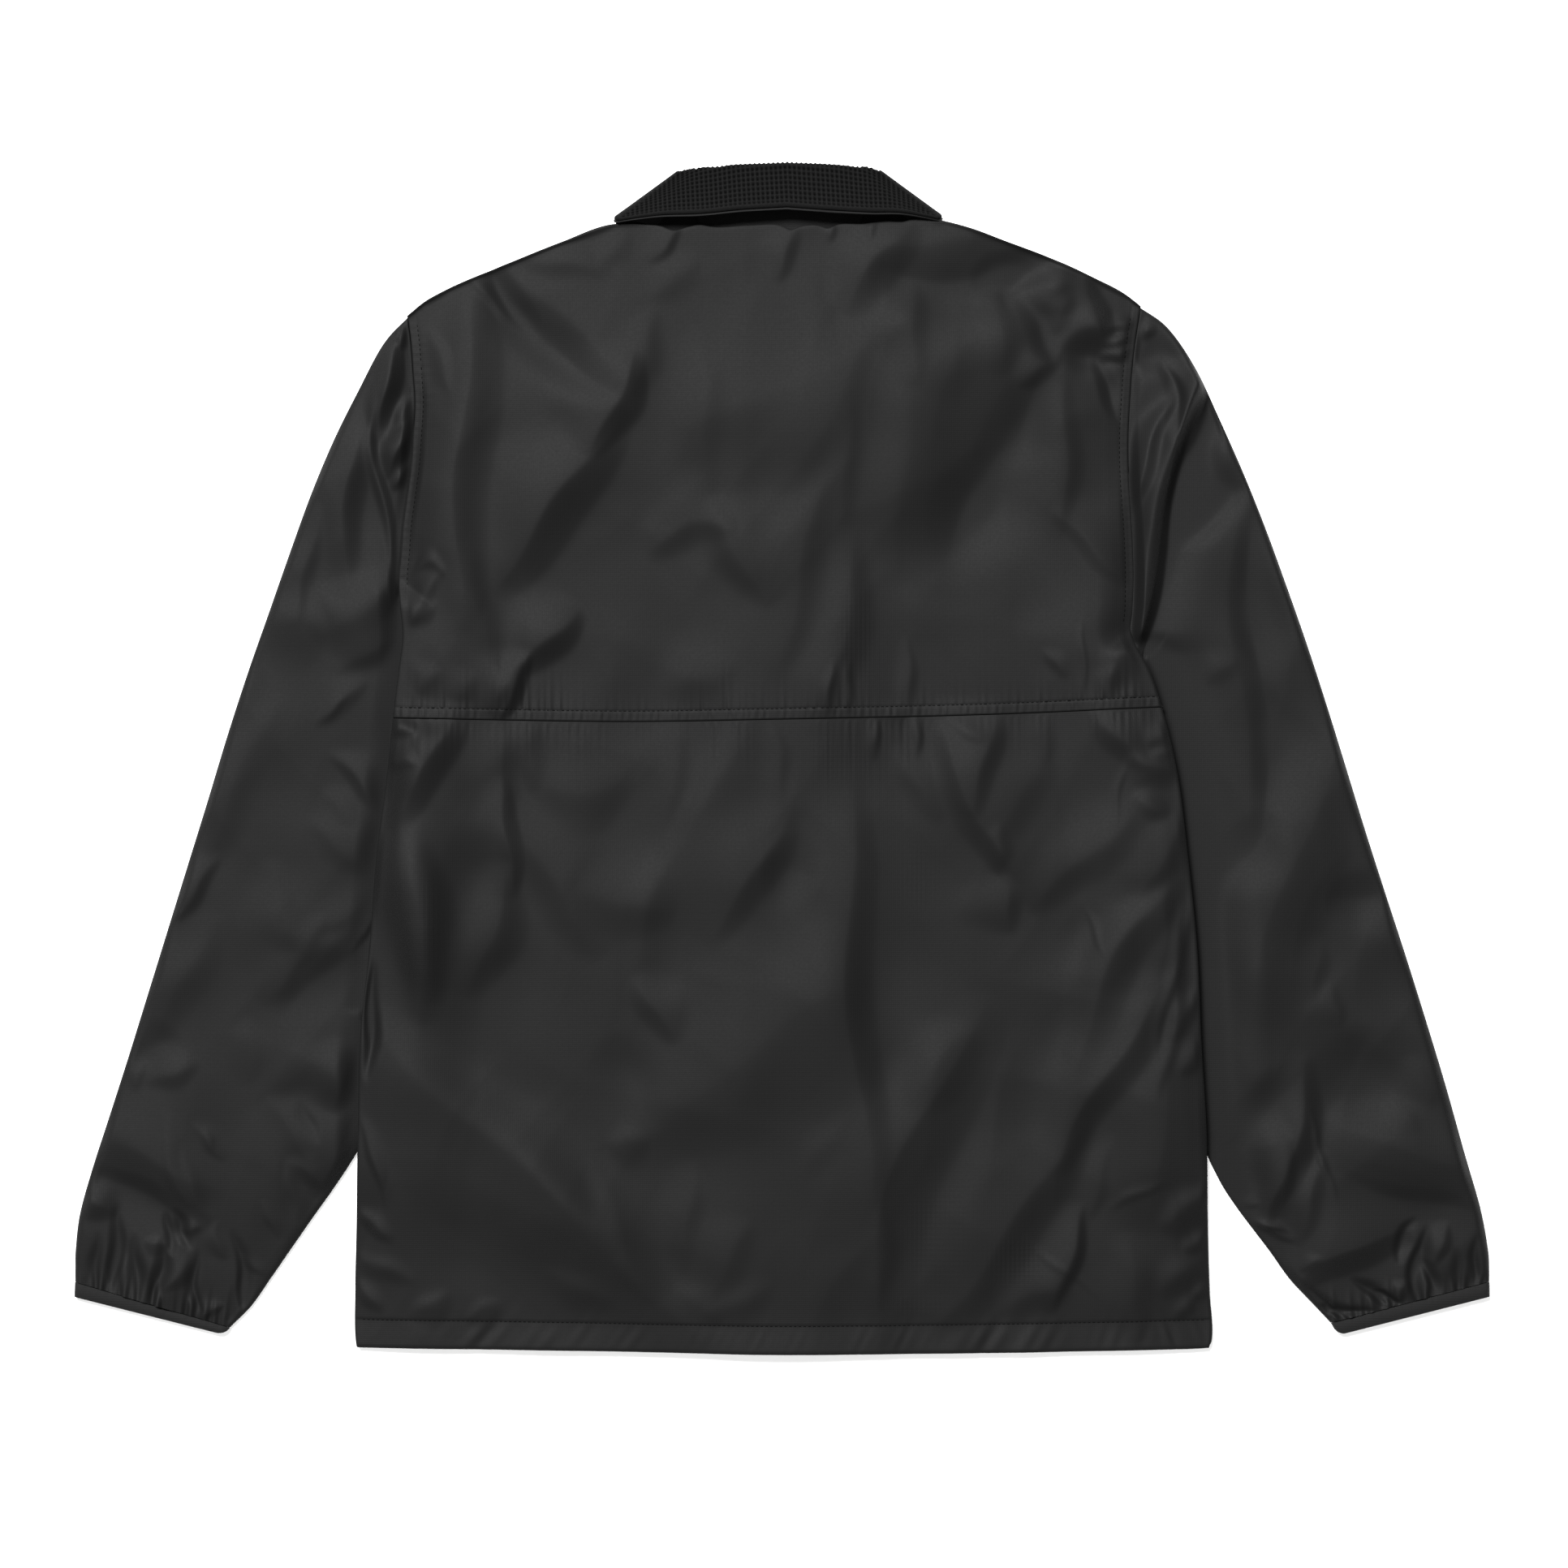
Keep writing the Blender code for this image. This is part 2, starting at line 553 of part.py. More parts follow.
def flat_ring(start, end, bow, top_steps, height, wall, top_extra, bottom_steps):
    """Outer and inner outline of a flattened tube across the line from start to end.

    The rings run over the top from the first edge to the second, then back underneath.
    """
    start, end = np.asarray(start), np.asarray(end)
    width = math.hypot(*(end - start))
    radius = height / 2

    def chain(inset, round_to, low, high, steps, extra):
        edge_in = [inset] + [inset + share * round_to for share, _ in EDGE_STEPS]
        edge_up = [0.0] + [rise for _, rise in EDGE_STEPS]
        middle = np.linspace(edge_in[-1], width - edge_in[-1], steps + 1)[1:-1]
        spots = np.concatenate([edge_in, middle, [width - e for e in edge_in[::-1]]])
        rises = np.concatenate([edge_up, np.ones(len(middle)), edge_up[::-1]])
        heights = low + (high - low) * rises
        if extra is not None:
            heights = heights + extra(spots / width) * rises
        return spots, heights

    inner_low, inner_high = wall, height - wall
    halfway = (inner_low + inner_high) / 2
    over = chain(0.0, radius, radius, height, top_steps, top_extra)
    under = chain(0.0, radius, radius, 0.0, bottom_steps, None)
    plain_extra = top_extra.plain if top_extra else None
    inside_over = chain(wall, INNER_ROUND, halfway, inner_high, TOP_STEPS, plain_extra)
    inside_under = chain(wall, INNER_ROUND, halfway, inner_low, bottom_steps, None)

    def placed(spots, heights):
        share = spots / width
        plan = start + (end - start) * share[:, None] + bow(share)
        return np.column_stack([plan, heights])

    outer = np.vstack([placed(*over), placed(*under)[-2:0:-1]])
    inner = np.vstack([placed(*inside_over), placed(*inside_under)[-2:0:-1]])
    return outer, inner


def tube(name, rings, material, collection):
    """A tube wall from outer and inner rings along it, closed by a rim at each end."""
    points = []
    faces = []

    def numbered(ring):
        first = len(points)
        points.extend(ring)
        return list(range(first, first + len(ring))) + [first]

    outer = [numbered(ring) for ring, _ in rings]
    inner = [numbered(ring) for _, ring in rings]
    for first, second in zip(outer, outer[1:]):
        bridge(faces, first, second)
    for first, second in zip(inner, inner[1:]):
        bridge(faces, second, first)
    bridge(faces, inner[0], outer[0])
    bridge(faces, outer[-1], inner[-1])
    mesh = bpy.data.meshes.new(name)
    mesh.from_pydata([tuple(np.asarray(p) * MM) for p in points], [], faces)
    work = bmesh.new()
    work.from_mesh(mesh)
    bmesh.ops.recalc_face_normals(work, faces=work.faces)
    work.to_mesh(mesh)
    work.free()
    return add_object(name, mesh, material, collection)


class TopForm:
    """Rise of a sleeve's upper side over its flat edge: crown, folds and cuff gathers."""

    def __init__(self, side, plan, folds, crown, gather):
        self.side = side
        self.plan_at = plan
        self.folds = folds
        self.crown = crown
        self.gather = gather

    def plain(self, share):
        place = self.plan_at(share)
        lens = np.sin(np.pi * np.clip(share, 0.0, 1.0))
        clear = ease(self.side * (place[:, 0] - side_x(place[:, 1], self.side)), *SLEEVE_RISE)
        folds = fold_height(place[:, 0], place[:, 1], self.folds)
        return clear * (lens * self.crown + lens ** FOLD_LENS * folds)

    def __call__(self, share):
        uneven = share + GATHER_DRIFT * np.sin(2 * np.pi * GATHER_BEATS * share)
        wave = 0.5 - 0.5 * np.cos(2 * np.pi * GATHERS * uneven)
        lens = np.sin(np.pi * np.clip(share, 0.0, 1.0)) ** GATHER_LENS
        return self.plain(share) + self.gather * wave * lens


def sleeve(name, side, table, folds, material, collection):
    table = np.array(table)
    known = np.linspace(0.0, 1.0, len(table))
    plain_rows = np.linspace(0.0, 1.0 - GATHER_RUN, SLEEVE_ROWS - GATHER_ROWS)
    places = np.concatenate([plain_rows, np.linspace(1.0 - GATHER_RUN, 1.0, GATHER_ROWS + 1)[1:]])
    rings = []
    for place in places:
        ends = [float(smooth_through(place, known, column)) for column in table.T]
        start, end = np.array(ends[:2]), np.array(ends[2:])
        fade = 1.0 - float(ease(place, 0.0, SLEEVE_BOW_ROWS))

        def bow(share, fade=fade):
            y = table[0, 1] + (table[0, 3] - table[0, 1]) * share
            line = table[0, 0] + (table[0, 2] - table[0, 0]) * share
            curve = side_x(y, side) + side * ARMHOLE_SEAM - line
            ends = ease(share, 0.0, BOW_ENDS) * ease(1.0 - share, 0.0, BOW_ENDS)
            return np.column_stack([curve * fade * ends, np.zeros_like(share)])

        def plan(share, start=start, end=end, bow=bow):
            return start + (end - start) * share[:, None] + bow(share)

        gather = GATHER_HEIGHT * float(ease(place, 1.0 - GATHER_RUN, 1.0))
        crown = SLEEVE_CROWN * float(ease(place, 0.0, CROWN_START) * (1 - ease(place, CROWN_STOP, 1.0)))
        flat = float(ease(place, 0.0, FOLD_START))
        tall = FOLD_COLUMNS.index("height")
        scaled = [row[:tall] + (row[tall] * flat,) + row[tall + 1:] for row in folds]
        form = TopForm(side, plan, scaled, crown, gather)
        steps = GATHERS * GATHER_STEPS if gather > 0 else TOP_STEPS
        rings.append(flat_ring(start, end, bow, steps, SLEEVE_EDGE, WALL, form, BOTTOM_STEPS))
    return tube(name, rings, material, collection)


def cuff_binding(name, row, material, collection):
    cuff = dict(zip(CUFF_COLUMNS, row))

    def no_bow(share):
        return np.zeros((len(share), 2))

    rings = []
    for share in np.linspace(0.0, 1.0, CUFF_ROWS):
        ends = []
        for edge in ("outer", "inner"):
            top = np.array([cuff[f"top_{edge}_x"], cuff[f"top_{edge}_y"]])
            end = np.array([cuff[f"end_{edge}_x"], cuff[f"end_{edge}_y"]])
            ends.append(top + (end - top) * share)
        swell = CUFF_SWELL * math.sin(math.pi * share)
        height = CUFF_HEIGHT + swell
        rings.append(flat_ring(ends[0], ends[1], no_bow, TOP_STEPS, height, CUFF_WALL, None, BOTTOM_STEPS))
    return tube(name, rings, material, collection)


def collar_stations(table):
    """The table's sections with smooth steps between them, from the back to the front."""
    table = np.array(table)
    places = []
    for row, steps in enumerate(table[:-1, COLLAR_COLUMNS.index("steps")]):
        places.extend(row + np.arange(int(steps)) / steps)
    places.append(len(table) - 1)
    places = np.array(places)
    turn = COLLAR_COLUMNS.index("turn")
    known = np.arange(len(table))
    columns = [smooth_through(places, known, table[:, k]) for k in range(turn)]
    columns += [np.interp(places, known, table[:, k]) for k in (turn, turn + 1)]
    return [dict(zip(COLLAR_COLUMNS, row)) for row in np.array(columns).T]


def collar_section(station, side):
    """Middle of the collar's wall from the neck seam over the roll to its free edge."""
    roll = np.array([station["roll_x"], station["roll_y"]])
    edge = np.array([station["edge_x"], station["edge_y"]]) - roll
    neck = np.array([station["neck_x"], station["neck_y"]]) - roll
    lead = edge / np.linalg.norm(edge)
    outward = np.array([lead[1], -lead[0]]) * -side
    turn = math.radians(station["turn"])
    rows = []
    for share in np.linspace(1.0, 0.0, COLLAR_STAND_STEPS + 1):
        rows.append((neck * share, COLLAR_STAND))
    half = COLLAR_STACK / 2
    for step in range(1, COLLAR_ROLL_STEPS):
        angle = math.pi * step / COLLAR_ROLL_STEPS
        rows.append((-lead * half * math.sin(angle), COLLAR_STAND + half - half * math.cos(angle)))
    for share in np.linspace(0.0, 1.0, COLLAR_FALL_STEPS + 1):
        rise = station["edge_lift"] * share
        rows.append((edge * share, COLLAR_STAND + COLLAR_STACK + rise))
    section = []
    for offset, off in rows:
        plan = roll + offset + outward * off * math.sin(turn)
        section.append((plan[0], plan[1], COLLAR_MIDDLE + off * math.cos(turn)))
    return section


def collar(material, collection):
    left = [collar_section(s, -1) for s in collar_stations(COLLAR_LEFT)]
    right = [collar_section(s, 1) for s in collar_stations(COLLAR_RIGHT)]
    sections = left[:0:-1] + right
    count = len(sections[0])
    work = bmesh.new()
    bmesh.ops.create_grid(work, x_segments=len(sections) - 1, y_segments=count - 1, size=1.0)
    for vertex in work.verts:
        station = round((vertex.co.x + 1) / 2 * (len(sections) - 1))
        row = round((vertex.co.y + 1) / 2 * (count - 1))
        vertex.co = np.array(sections[station][row]) * MM
    mesh = bpy.data.meshes.new("collar")
    work.to_mesh(mesh)
    work.free()
    thing = add_object("collar", mesh, material, collection)
    wall = thing.modifiers.new("wall", "SOLIDIFY")
    wall.thickness = WALL * MM
    wall.offset = 0.0
    return thing


def snap_cap(number, material, collection):
    y = SNAP_FIRST_Y - SNAP_PITCH * number
    name = f"snap_{number + 1}"
    work = bmesh.new()
    bmesh.ops.create_cone(work, cap_ends=True, segments=SNAP_SIDES, radius1=SNAP_RADIUS * MM,
                          radius2=SNAP_RADIUS * MM, depth=SNAP_HEIGHT * MM)
    rims = [edge for edge in work.edges if abs(edge.verts[0].co.z - edge.verts[1].co.z) < SNAP_BEVEL * MM]
    bmesh.ops.bevel(work, geom=rims, offset=SNAP_BEVEL * MM, segments=1, affect="EDGES")
    bmesh.ops.translate(work, verts=work.verts, vec=(0.0, y * MM, (SNAP_FLOOR + SNAP_HEIGHT / 2) * MM))
    mesh = bpy.data.meshes.new(name)
    work.to_mesh(mesh)
    work.free()
    return add_object(name, mesh, material, collection)


clear_scene()
jacket = bpy.data.collections.new("reversible_fleece_jacket")
bpy.context.scene.collection.children.link(jacket)
finish = {name: make_material(name) for name in MATERIALS}
shell = finish["nylon_shell"]
back_yoke(shell, jacket)
back_lower(shell, jacket)
front("front_left", -1, shell, jacket)
front("front_right", 1, shell, jacket)
sleeve("sleeve_left", -1, LEFT_SLEEVE, LEFT_SLEEVE_FOLDS, shell, jacket)
sleeve("sleeve_right", 1, RIGHT_SLEEVE, RIGHT_SLEEVE_FOLDS, shell, jacket)
cuff_binding("cuff_binding_left", CUFFS["left"], finish["elastic_binding"], jacket)
cuff_binding("cuff_binding_right", CUFFS["right"], finish["elastic_binding"], jacket)
collar(finish["grid_fleece"], jacket)
for number in range(SNAP_COUNT):
    snap_cap(number, finish["lacquered_snap"], jacket)
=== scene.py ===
# %% [markdown]
# # A reversible jacket of nylon and grid fleece, laid flat with its back up
# The jacket lies on a pale table as it would for a catalogue: the smooth nylon side is out, the sleeves lie
# down beside the body with their inner edges tucked under it, and the collar is turned so its grid fleece
# shows. The solids of the frame give the true outline and the rests. Here every panel is made again as a
# thin cloth on the same form, with its creases, puckers, seams and surface. All sizes below are
# millimetres.

# %% Load the frame
import json
import math

import bmesh
import bpy
import numpy as np
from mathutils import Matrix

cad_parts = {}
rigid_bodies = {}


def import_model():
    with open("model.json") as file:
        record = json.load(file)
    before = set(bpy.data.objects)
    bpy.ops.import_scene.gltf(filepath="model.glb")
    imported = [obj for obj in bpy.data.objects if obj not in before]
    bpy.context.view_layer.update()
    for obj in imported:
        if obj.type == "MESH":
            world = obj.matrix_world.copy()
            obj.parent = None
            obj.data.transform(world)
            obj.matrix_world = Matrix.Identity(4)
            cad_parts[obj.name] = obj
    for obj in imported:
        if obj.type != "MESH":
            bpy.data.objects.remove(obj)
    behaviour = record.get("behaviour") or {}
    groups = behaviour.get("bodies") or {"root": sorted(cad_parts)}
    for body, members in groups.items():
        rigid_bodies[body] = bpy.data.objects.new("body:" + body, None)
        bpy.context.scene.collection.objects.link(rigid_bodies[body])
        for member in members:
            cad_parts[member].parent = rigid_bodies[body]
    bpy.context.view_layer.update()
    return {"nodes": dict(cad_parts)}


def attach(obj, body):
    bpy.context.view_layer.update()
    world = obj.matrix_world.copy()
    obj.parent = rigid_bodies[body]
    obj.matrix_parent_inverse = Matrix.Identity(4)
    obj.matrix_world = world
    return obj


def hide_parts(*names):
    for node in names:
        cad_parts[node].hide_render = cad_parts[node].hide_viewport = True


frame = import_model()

MM = 0.001
print("nodes in the frame:", len(frame["nodes"]))

# %% [markdown]
# ## Camera and light
# The photograph looks straight down with a long lens, so nearly no perspective shows. The frame is 1024 mm
# wide at the cloth. One large soft lamp stands high beyond the collar, a little to the left. Flat cloth
# sends some of its light up to the lens; a slope that faces the lamp sends a little more and every other
# slope sends less, so creases read as dark streaks with a faint light beside them. A weak white surround
# fills the shadows. The table has a light of its own, as in a catalogue studio, so that the jacket lies on
# clean white.

# %% Camera and light
FRAME_WIDTH = 1024.0
FRAME_CENTRE = (1.06, -17.0)
LENS, SENSOR = 110.0, 36.0
CLOTH_LEVEL = 8.0
LAMP_TURN, LAMP_RISE = 118.0, 58.0       # degrees round from +X, and up from the table
LAMP_DISTANCE, LAMP_SIZE = 7000.0, 2300.0
LAMP_POWER = 815.0
SURROUND = 0.24
TABLE_LIGHT, TABLE_LIGHT_HEIGHT = 2.2, 2000.0

scene = bpy.context.scene
lens = bpy.data.cameras.new("camera")
lens.lens, lens.sensor_width = LENS, SENSOR
camera = bpy.data.objects.new("camera", lens)
camera_height = FRAME_WIDTH * LENS / SENSOR + CLOTH_LEVEL
camera.location = (FRAME_CENTRE[0] * MM, FRAME_CENTRE[1] * MM, camera_height * MM)
scene.collection.objects.link(camera)
scene.camera = camera

lamp = bpy.data.lights.new("window_lamp", "AREA")
lamp.shape = "DISK"
lamp.size = LAMP_SIZE * MM
lamp.energy = LAMP_POWER
lamp_stand = bpy.data.objects.new("window_lamp", lamp)
turn, rise = math.radians(LAMP_TURN), math.radians(LAMP_RISE)
towards_lamp = np.array([math.cos(turn) * math.cos(rise), math.sin(turn) * math.cos(rise), math.sin(rise)])
lamp_stand.location = towards_lamp * LAMP_DISTANCE * MM
lamp_stand.rotation_euler = lamp_stand.location.to_track_quat("Z", "Y").to_euler()
scene.collection.objects.link(lamp_stand)

lit_table = bpy.data.collections.new("lit_table")
fill = bpy.data.lights.new("table_light", "SUN")
fill.energy = TABLE_LIGHT
fill.use_shadow = False
fill_stand = bpy.data.objects.new("table_light", fill)
fill_stand.location.z = TABLE_LIGHT_HEIGHT * MM
fill_stand.light_linking.receiver_collection = lit_table
scene.collection.objects.link(fill_stand)

world = bpy.data.worlds.new("white_studio")
world.use_nodes = True
surround = world.node_tree.nodes["Background"]
surround.inputs["Color"].default_value = (1.0, 1.0, 1.0, 1.0)
surround.inputs["Strength"].default_value = SURROUND
scene.world = world
scene.view_settings.view_transform = "Standard"
print("camera above the cloth:", round(camera_height), "mm")

# %% [markdown]
# ## Finishes
# Each finish starts from the real stuff. The shell is a light plain-woven nylon, calendered, so it is black
# with a soft satin light on every slope. The collar shows polyester fleece knitted in a waffle grid and
# brushed, which drinks light and only glows a little at its fibres. The cuffs are bound with a fine ribbed
# elastic. Pictures of cloth could be wrapped round the pieces instead; patterns worked out in the nodes
# need no files and keep their size in millimetres. A helper adds one node with its settings and its links,
# so that each finish reads from top to bottom.

# %% Helpers for finishes
def to_linear(hex_colour):
    """A colour from a paint chart (sRGB hex) as the linear colour that the shader takes."""
    parts = [int(hex_colour[k:k + 2], 16) / 255 for k in (1, 3, 5)]
    return tuple(p / 12.92 if p <= 0.04045 else ((p + 0.055) / 1.055) ** 2.4 for p in parts) + (1.0,)


def wire(tree, node, inputs):
    """Fill a node's inputs: each is a value or the output of another node."""
    for name, value in inputs.items():
        if isinstance(value, bpy.types.NodeSocket):
            tree.links.new(value, node.inputs[name])
        else:
            node.inputs[name].default_value = value


def add(tree, kind, inputs=None, **settings):
    """One node with its settings and inputs."""
    node = tree.nodes.new(kind)
    for name, value in settings.items():
        setattr(node, name, value)
    wire(tree, node, inputs or {})
    return node


def new_finish(name):
    """A material to start from, with its nodes, its shader and the places on the piece."""
    material = bpy.data.materials.new(name)
    material.use_nodes = True
    tree = material.node_tree
    return material, tree, tree.nodes["Principled BSDF"], add(tree, "ShaderNodeTexCoord").outputs["Object"]


def bands(pitch_mm):
    """Scale of a wave texture whose bands repeat at this pitch."""
    return 2 * math.pi / (20 * pitch_mm * MM)


def grains(size_mm):
    """Scale of a noise texture whose spots are about this wide."""
    return 1 / (size_mm * MM)


print("mid grey as the shader takes it:", round(to_linear("#808080")[0], 3))

# %% [markdown]
# ### Calendered nylon taffeta
# The shell is a plain weave of very fine yarn, rolled smooth: black, satin, with a faint grain. Modelling
# the threads would take millions of faces, so two crossed waves in a bump stand for warp and weft. The real
# threads are 0.2 mm apart; they are drawn at 1.3 mm so that a hint of them shows. The fleece's grid prints
# through in places.

# %% Calendered nylon taffeta
TAFFETA_PITCH = 1.3
GRID_ACROSS, GRID_DOWN = 3.05, 3.5

nylon, tree, shader, place = new_finish("calendered_nylon_taffeta")
warp, weft = (add(tree, "ShaderNodeTexWave",
                  {"Vector": place, "Scale": bands(TAFFETA_PITCH), "Distortion": 0.6,
                   "Detail": 1.0, "Detail Scale": 0.3}, bands_direction=way)
              for way in "XY")
weave = add(tree, "ShaderNodeMath", {0: warp.outputs["Fac"], 1: weft.outputs["Fac"]}, operation="MULTIPLY")
slub = add(tree, "ShaderNodeTexNoise", {"Vector": place, "Scale": grains(1.7), "Detail": 3.0})
yarn = add(tree, "ShaderNodeMath", {0: weave.outputs[0], 1: slub.outputs["Fac"]}, operation="ADD")
print_columns, print_rows = (add(tree, "ShaderNodeTexWave", {"Vector": place, "Scale": bands(pitch)},
                                 bands_direction=way)
                             for way, pitch in (("X", GRID_ACROSS), ("Y", GRID_DOWN)))
print_grid = add(tree, "ShaderNodeMath", {0: print_rows.outputs["Fac"], 1: 0.35,
                                          2: print_columns.outputs["Fac"]}, operation="MULTIPLY_ADD")
pressed = add(tree, "ShaderNodeAttribute", attribute_name="grid_print")
grid = add(tree, "ShaderNodeMath", {0: print_grid.outputs[0], 1: pressed.outputs["Fac"]},
           operation="MULTIPLY")
low = add(tree, "ShaderNodeBump", {"Height": grid.outputs[0], "Strength": 0.7, "Distance": 0.0001})
fine = add(tree, "ShaderNodeBump", {"Height": yarn.outputs[0], "Strength": 0.4, "Distance": 0.0001,
                                    "Normal": low.outputs["Normal"]})
cloud = add(tree, "ShaderNodeTexNoise", {"Vector": place, "Scale": grains(40.0), "Detail": 4.0})
dye = add(tree, "ShaderNodeMix", {"Factor": cloud.outputs["Fac"], 6: to_linear("#121212"),
                                  7: to_linear("#151515")}, data_type="RGBA")
gloss = add(tree, "ShaderNodeMapRange", {"Value": slub.outputs["Fac"], "To Min": 0.60, "To Max": 0.70})
wire(tree, shader, {"Base Color": dye.outputs[2], "Roughness": gloss.outputs["Result"],
                    "Normal": fine.outputs["Normal"], "IOR": 1.53, "Specular IOR Level": 0.16,
                    "Sheen Weight": 0.02, "Sheen Roughness": 0.4})
print("finish:", nylon.name)

# %% [markdown]
# ### Brushed grid fleece
# The collar's inside is a polyester knit with a waffle of small pits, brushed on its face: matt black, with a
# haze of fibre ends on the ribs. The pits are painted darker in the colour as shade, and the colour is also
# darker along the free edge. Hair could be grown on it, but the fibres are finer than a pixel, so they are
# drawn as a grain of 0.6 mm. The pits are large enough to be real dents, which the collar's mesh has.

# %% Brushed grid fleece
fleece, tree, shader, place = new_finish("brushed_grid_fleece")
fibre = add(tree, "ShaderNodeTexNoise",
            {"Vector": place, "Scale": grains(0.6), "Detail": 4.0, "Roughness": 0.7})
nap = add(tree, "ShaderNodeBump", {"Height": fibre.outputs["Fac"], "Strength": 0.7, "Distance": 0.0003})
# painted shade: the colour is darker in the grid's pits, and also darker along the free edge
pit_shade_and_edge_tone = add(tree, "ShaderNodeAttribute", attribute_name="pit_shade_and_edge_tone")
haze = add(tree, "ShaderNodeMath", {0: fibre.outputs["Fac"], 1: pit_shade_and_edge_tone.outputs["Fac"]}, operation="MULTIPLY")
dye = add(tree, "ShaderNodeMix", {"Factor": haze.outputs[0], 6: to_linear("#010101"),
                                  7: to_linear("#272727")}, data_type="RGBA")
wire(tree, shader, {"Base Color": dye.outputs[2], "Normal": nap.outputs["Normal"], "Roughness": 0.95,
                    "Specular IOR Level": 0.08, "Sheen Weight": 0.01, "Sheen Roughness": 0.5})
print("finish:", fleece.name)

# %% [markdown]
# ### Ribbed elastic binding
# The cuffs are bound with a narrow stretch tape folded over the sleeve's end: matt, a shade lighter than
# the shell, with fine ribs along its length. The ribs are 0.5 mm on the real tape and are drawn at 1.1 mm,
# as a bump, because they are too shallow to change its outline.

# %% Ribbed elastic binding
elastic, tree, shader, place = new_finish("ribbed_elastic_binding")
knit = add(tree, "ShaderNodeTexNoise", {"Vector": place, "Scale": grains(1.1), "Detail": 3.0})
ribs = add(tree, "ShaderNodeTexWave", {"Vector": place, "Scale": bands(1.1), "Distortion": 0.8},
           bands_direction="Y")
stretch = add(tree, "ShaderNodeMath", {0: knit.outputs["Fac"], 1: ribs.outputs["Fac"]}, operation="ADD")
relief = add(tree, "ShaderNodeBump", {"Height": stretch.outputs[0], "Strength": 0.5, "Distance": 0.0002})
dye = add(tree, "ShaderNodeMix", {"Factor": knit.outputs["Fac"], 6: to_linear("#131313"),
                                  7: to_linear("#191919")}, data_type="RGBA")
wire(tree, shader, {"Base Color": dye.outputs[2], "Normal": relief.outputs["Normal"], "Roughness": 0.8,
                    "Specular IOR Level": 0.25, "Sheen Weight": 0.02})
print("finish:", elastic.name)

# %% [markdown]
# ### Spun polyester thread
# The seams are sewn with black twisted thread, which shows as small dark grains in their dents. Each stitch
# is a real grain of thread, so the finish only adds the fuzz of its plies.

# %% Spun polyester thread
thread, tree, shader, place = new_finish("spun_polyester_thread")
twist = add(tree, "ShaderNodeTexNoise", {"Vector": place, "Scale": grains(0.5), "Detail": 2.0})
plies = add(tree, "ShaderNodeBump", {"Height": twist.outputs["Fac"], "Strength": 0.5, "Distance": 0.0001})
dye = add(tree, "ShaderNodeMix", {"Factor": twist.outputs["Fac"], 6: to_linear("#030303"),
                                  7: to_linear("#070707")}, data_type="RGBA")
wire(tree, shader, {"Base Color": dye.outputs[2], "Normal": plies.outputs["Normal"], "Roughness": 0.9,
                    "Specular IOR Level": 0.1})
print("finish:", thread.name)

# %% [markdown]
# ### Lacquered brass
# The snaps are pressed brass under a baked black lacquer: a hard, slightly hazy gloss. No metal shows, so the
# lacquer is the surface, with a clear coat over it.

# %% Lacquered brass
lacquer, tree, shader, place = new_finish("lacquered_brass")
haze = add(tree, "ShaderNodeTexNoise", {"Vector": place, "Scale": grains(2.0), "Detail": 4.0})
worn = add(tree, "ShaderNodeMapRange", {"Value": haze.outputs["Fac"], "To Min": 0.25, "To Max": 0.42})
dye = add(tree, "ShaderNodeMix", {"Factor": haze.outputs["Fac"], 6: to_linear("#141414"),
                                  7: to_linear("#1c1b1a")}, data_type="RGBA")
wire(tree, shader, {"Base Color": dye.outputs[2], "Roughness": worn.outputs["Result"], "Coat Weight": 0.5})
print("finish:", lacquer.name)

# %% [markdown]
# ## Pattern pieces
# The outline of each piece comes from a few measured points, joined by smooth curves, as the frame has
# them; the neck edge has its small notches as well. A panel is spanned between its four edge lines like
# cloth pulled over a wire frame.

# %% Outline of the body
WALL = 2.4                  # the frame's cloth, nylon and fleece together
CLOTH = 1.3                 # what is drawn of it at an edge
FRONT_TOP = WALL
LAYER_GAP, LOOSE_GAP, LOOSE_RUN = 0.7, 0.9, 16.0
CROWN, CROWN_RUN = 2.2, 60.0
SLEEVE_EDGE = 2 * WALL + LAYER_GAP
SIDE_COLUMNS = ("y", "left", "right")
YOKE_SIDES = (
    (296.0, -246.2, 234.5),
    (270.0, -242.7, 230.3),
    (250.0, -241.2, 228.2),
    (232.0, -240.1, 227.0),
    (212.0, -241.2, 226.0),
    (190.0, -242.7, 226.1),
    (170.0, -245.4, 227.2),
    (151.0, -248.0, 228.5),
    (134.0, -249.2, 229.3),
    (117.0, -250.7, 229.7),
    (99.0, -249.5, 229.4),
    (80.0, -248.0, 228.6),
    (56.0, -250.7, 240.0),
)
BODY_SIDES = (
    (28.0, -254.1, 249.0),
    (-10.0, -258.0, 257.8),
    (-60.0, -264.6, 264.2),
    (-125.0, -269.7, 270.8),
    (-188.0, -276.0, 273.6),
    (-240.0, -277.0, 276.7),
    (-300.0, -278.2, 277.9),
    (-350.0, -279.4, 279.5),
    (-380.0, -279.0, 280.8),
    (-390.0, -277.6, 279.0),
)
SHOULDER_LEFT = ((-245.4, 288.9), (-234.3, 297.9), (-217.8, 306.9), (-200.9, 314.3), (-172.0, 326.0),
                 (-145.0, 336.6), (-109.7, 348.7))
SHOULDER_RIGHT = ((106.5, 350.2), (120.0, 346.6), (146.3, 337.1), (172.8, 327.5), (199.3, 315.9),
                  (225.8, 302.1), (234.4, 295.2))
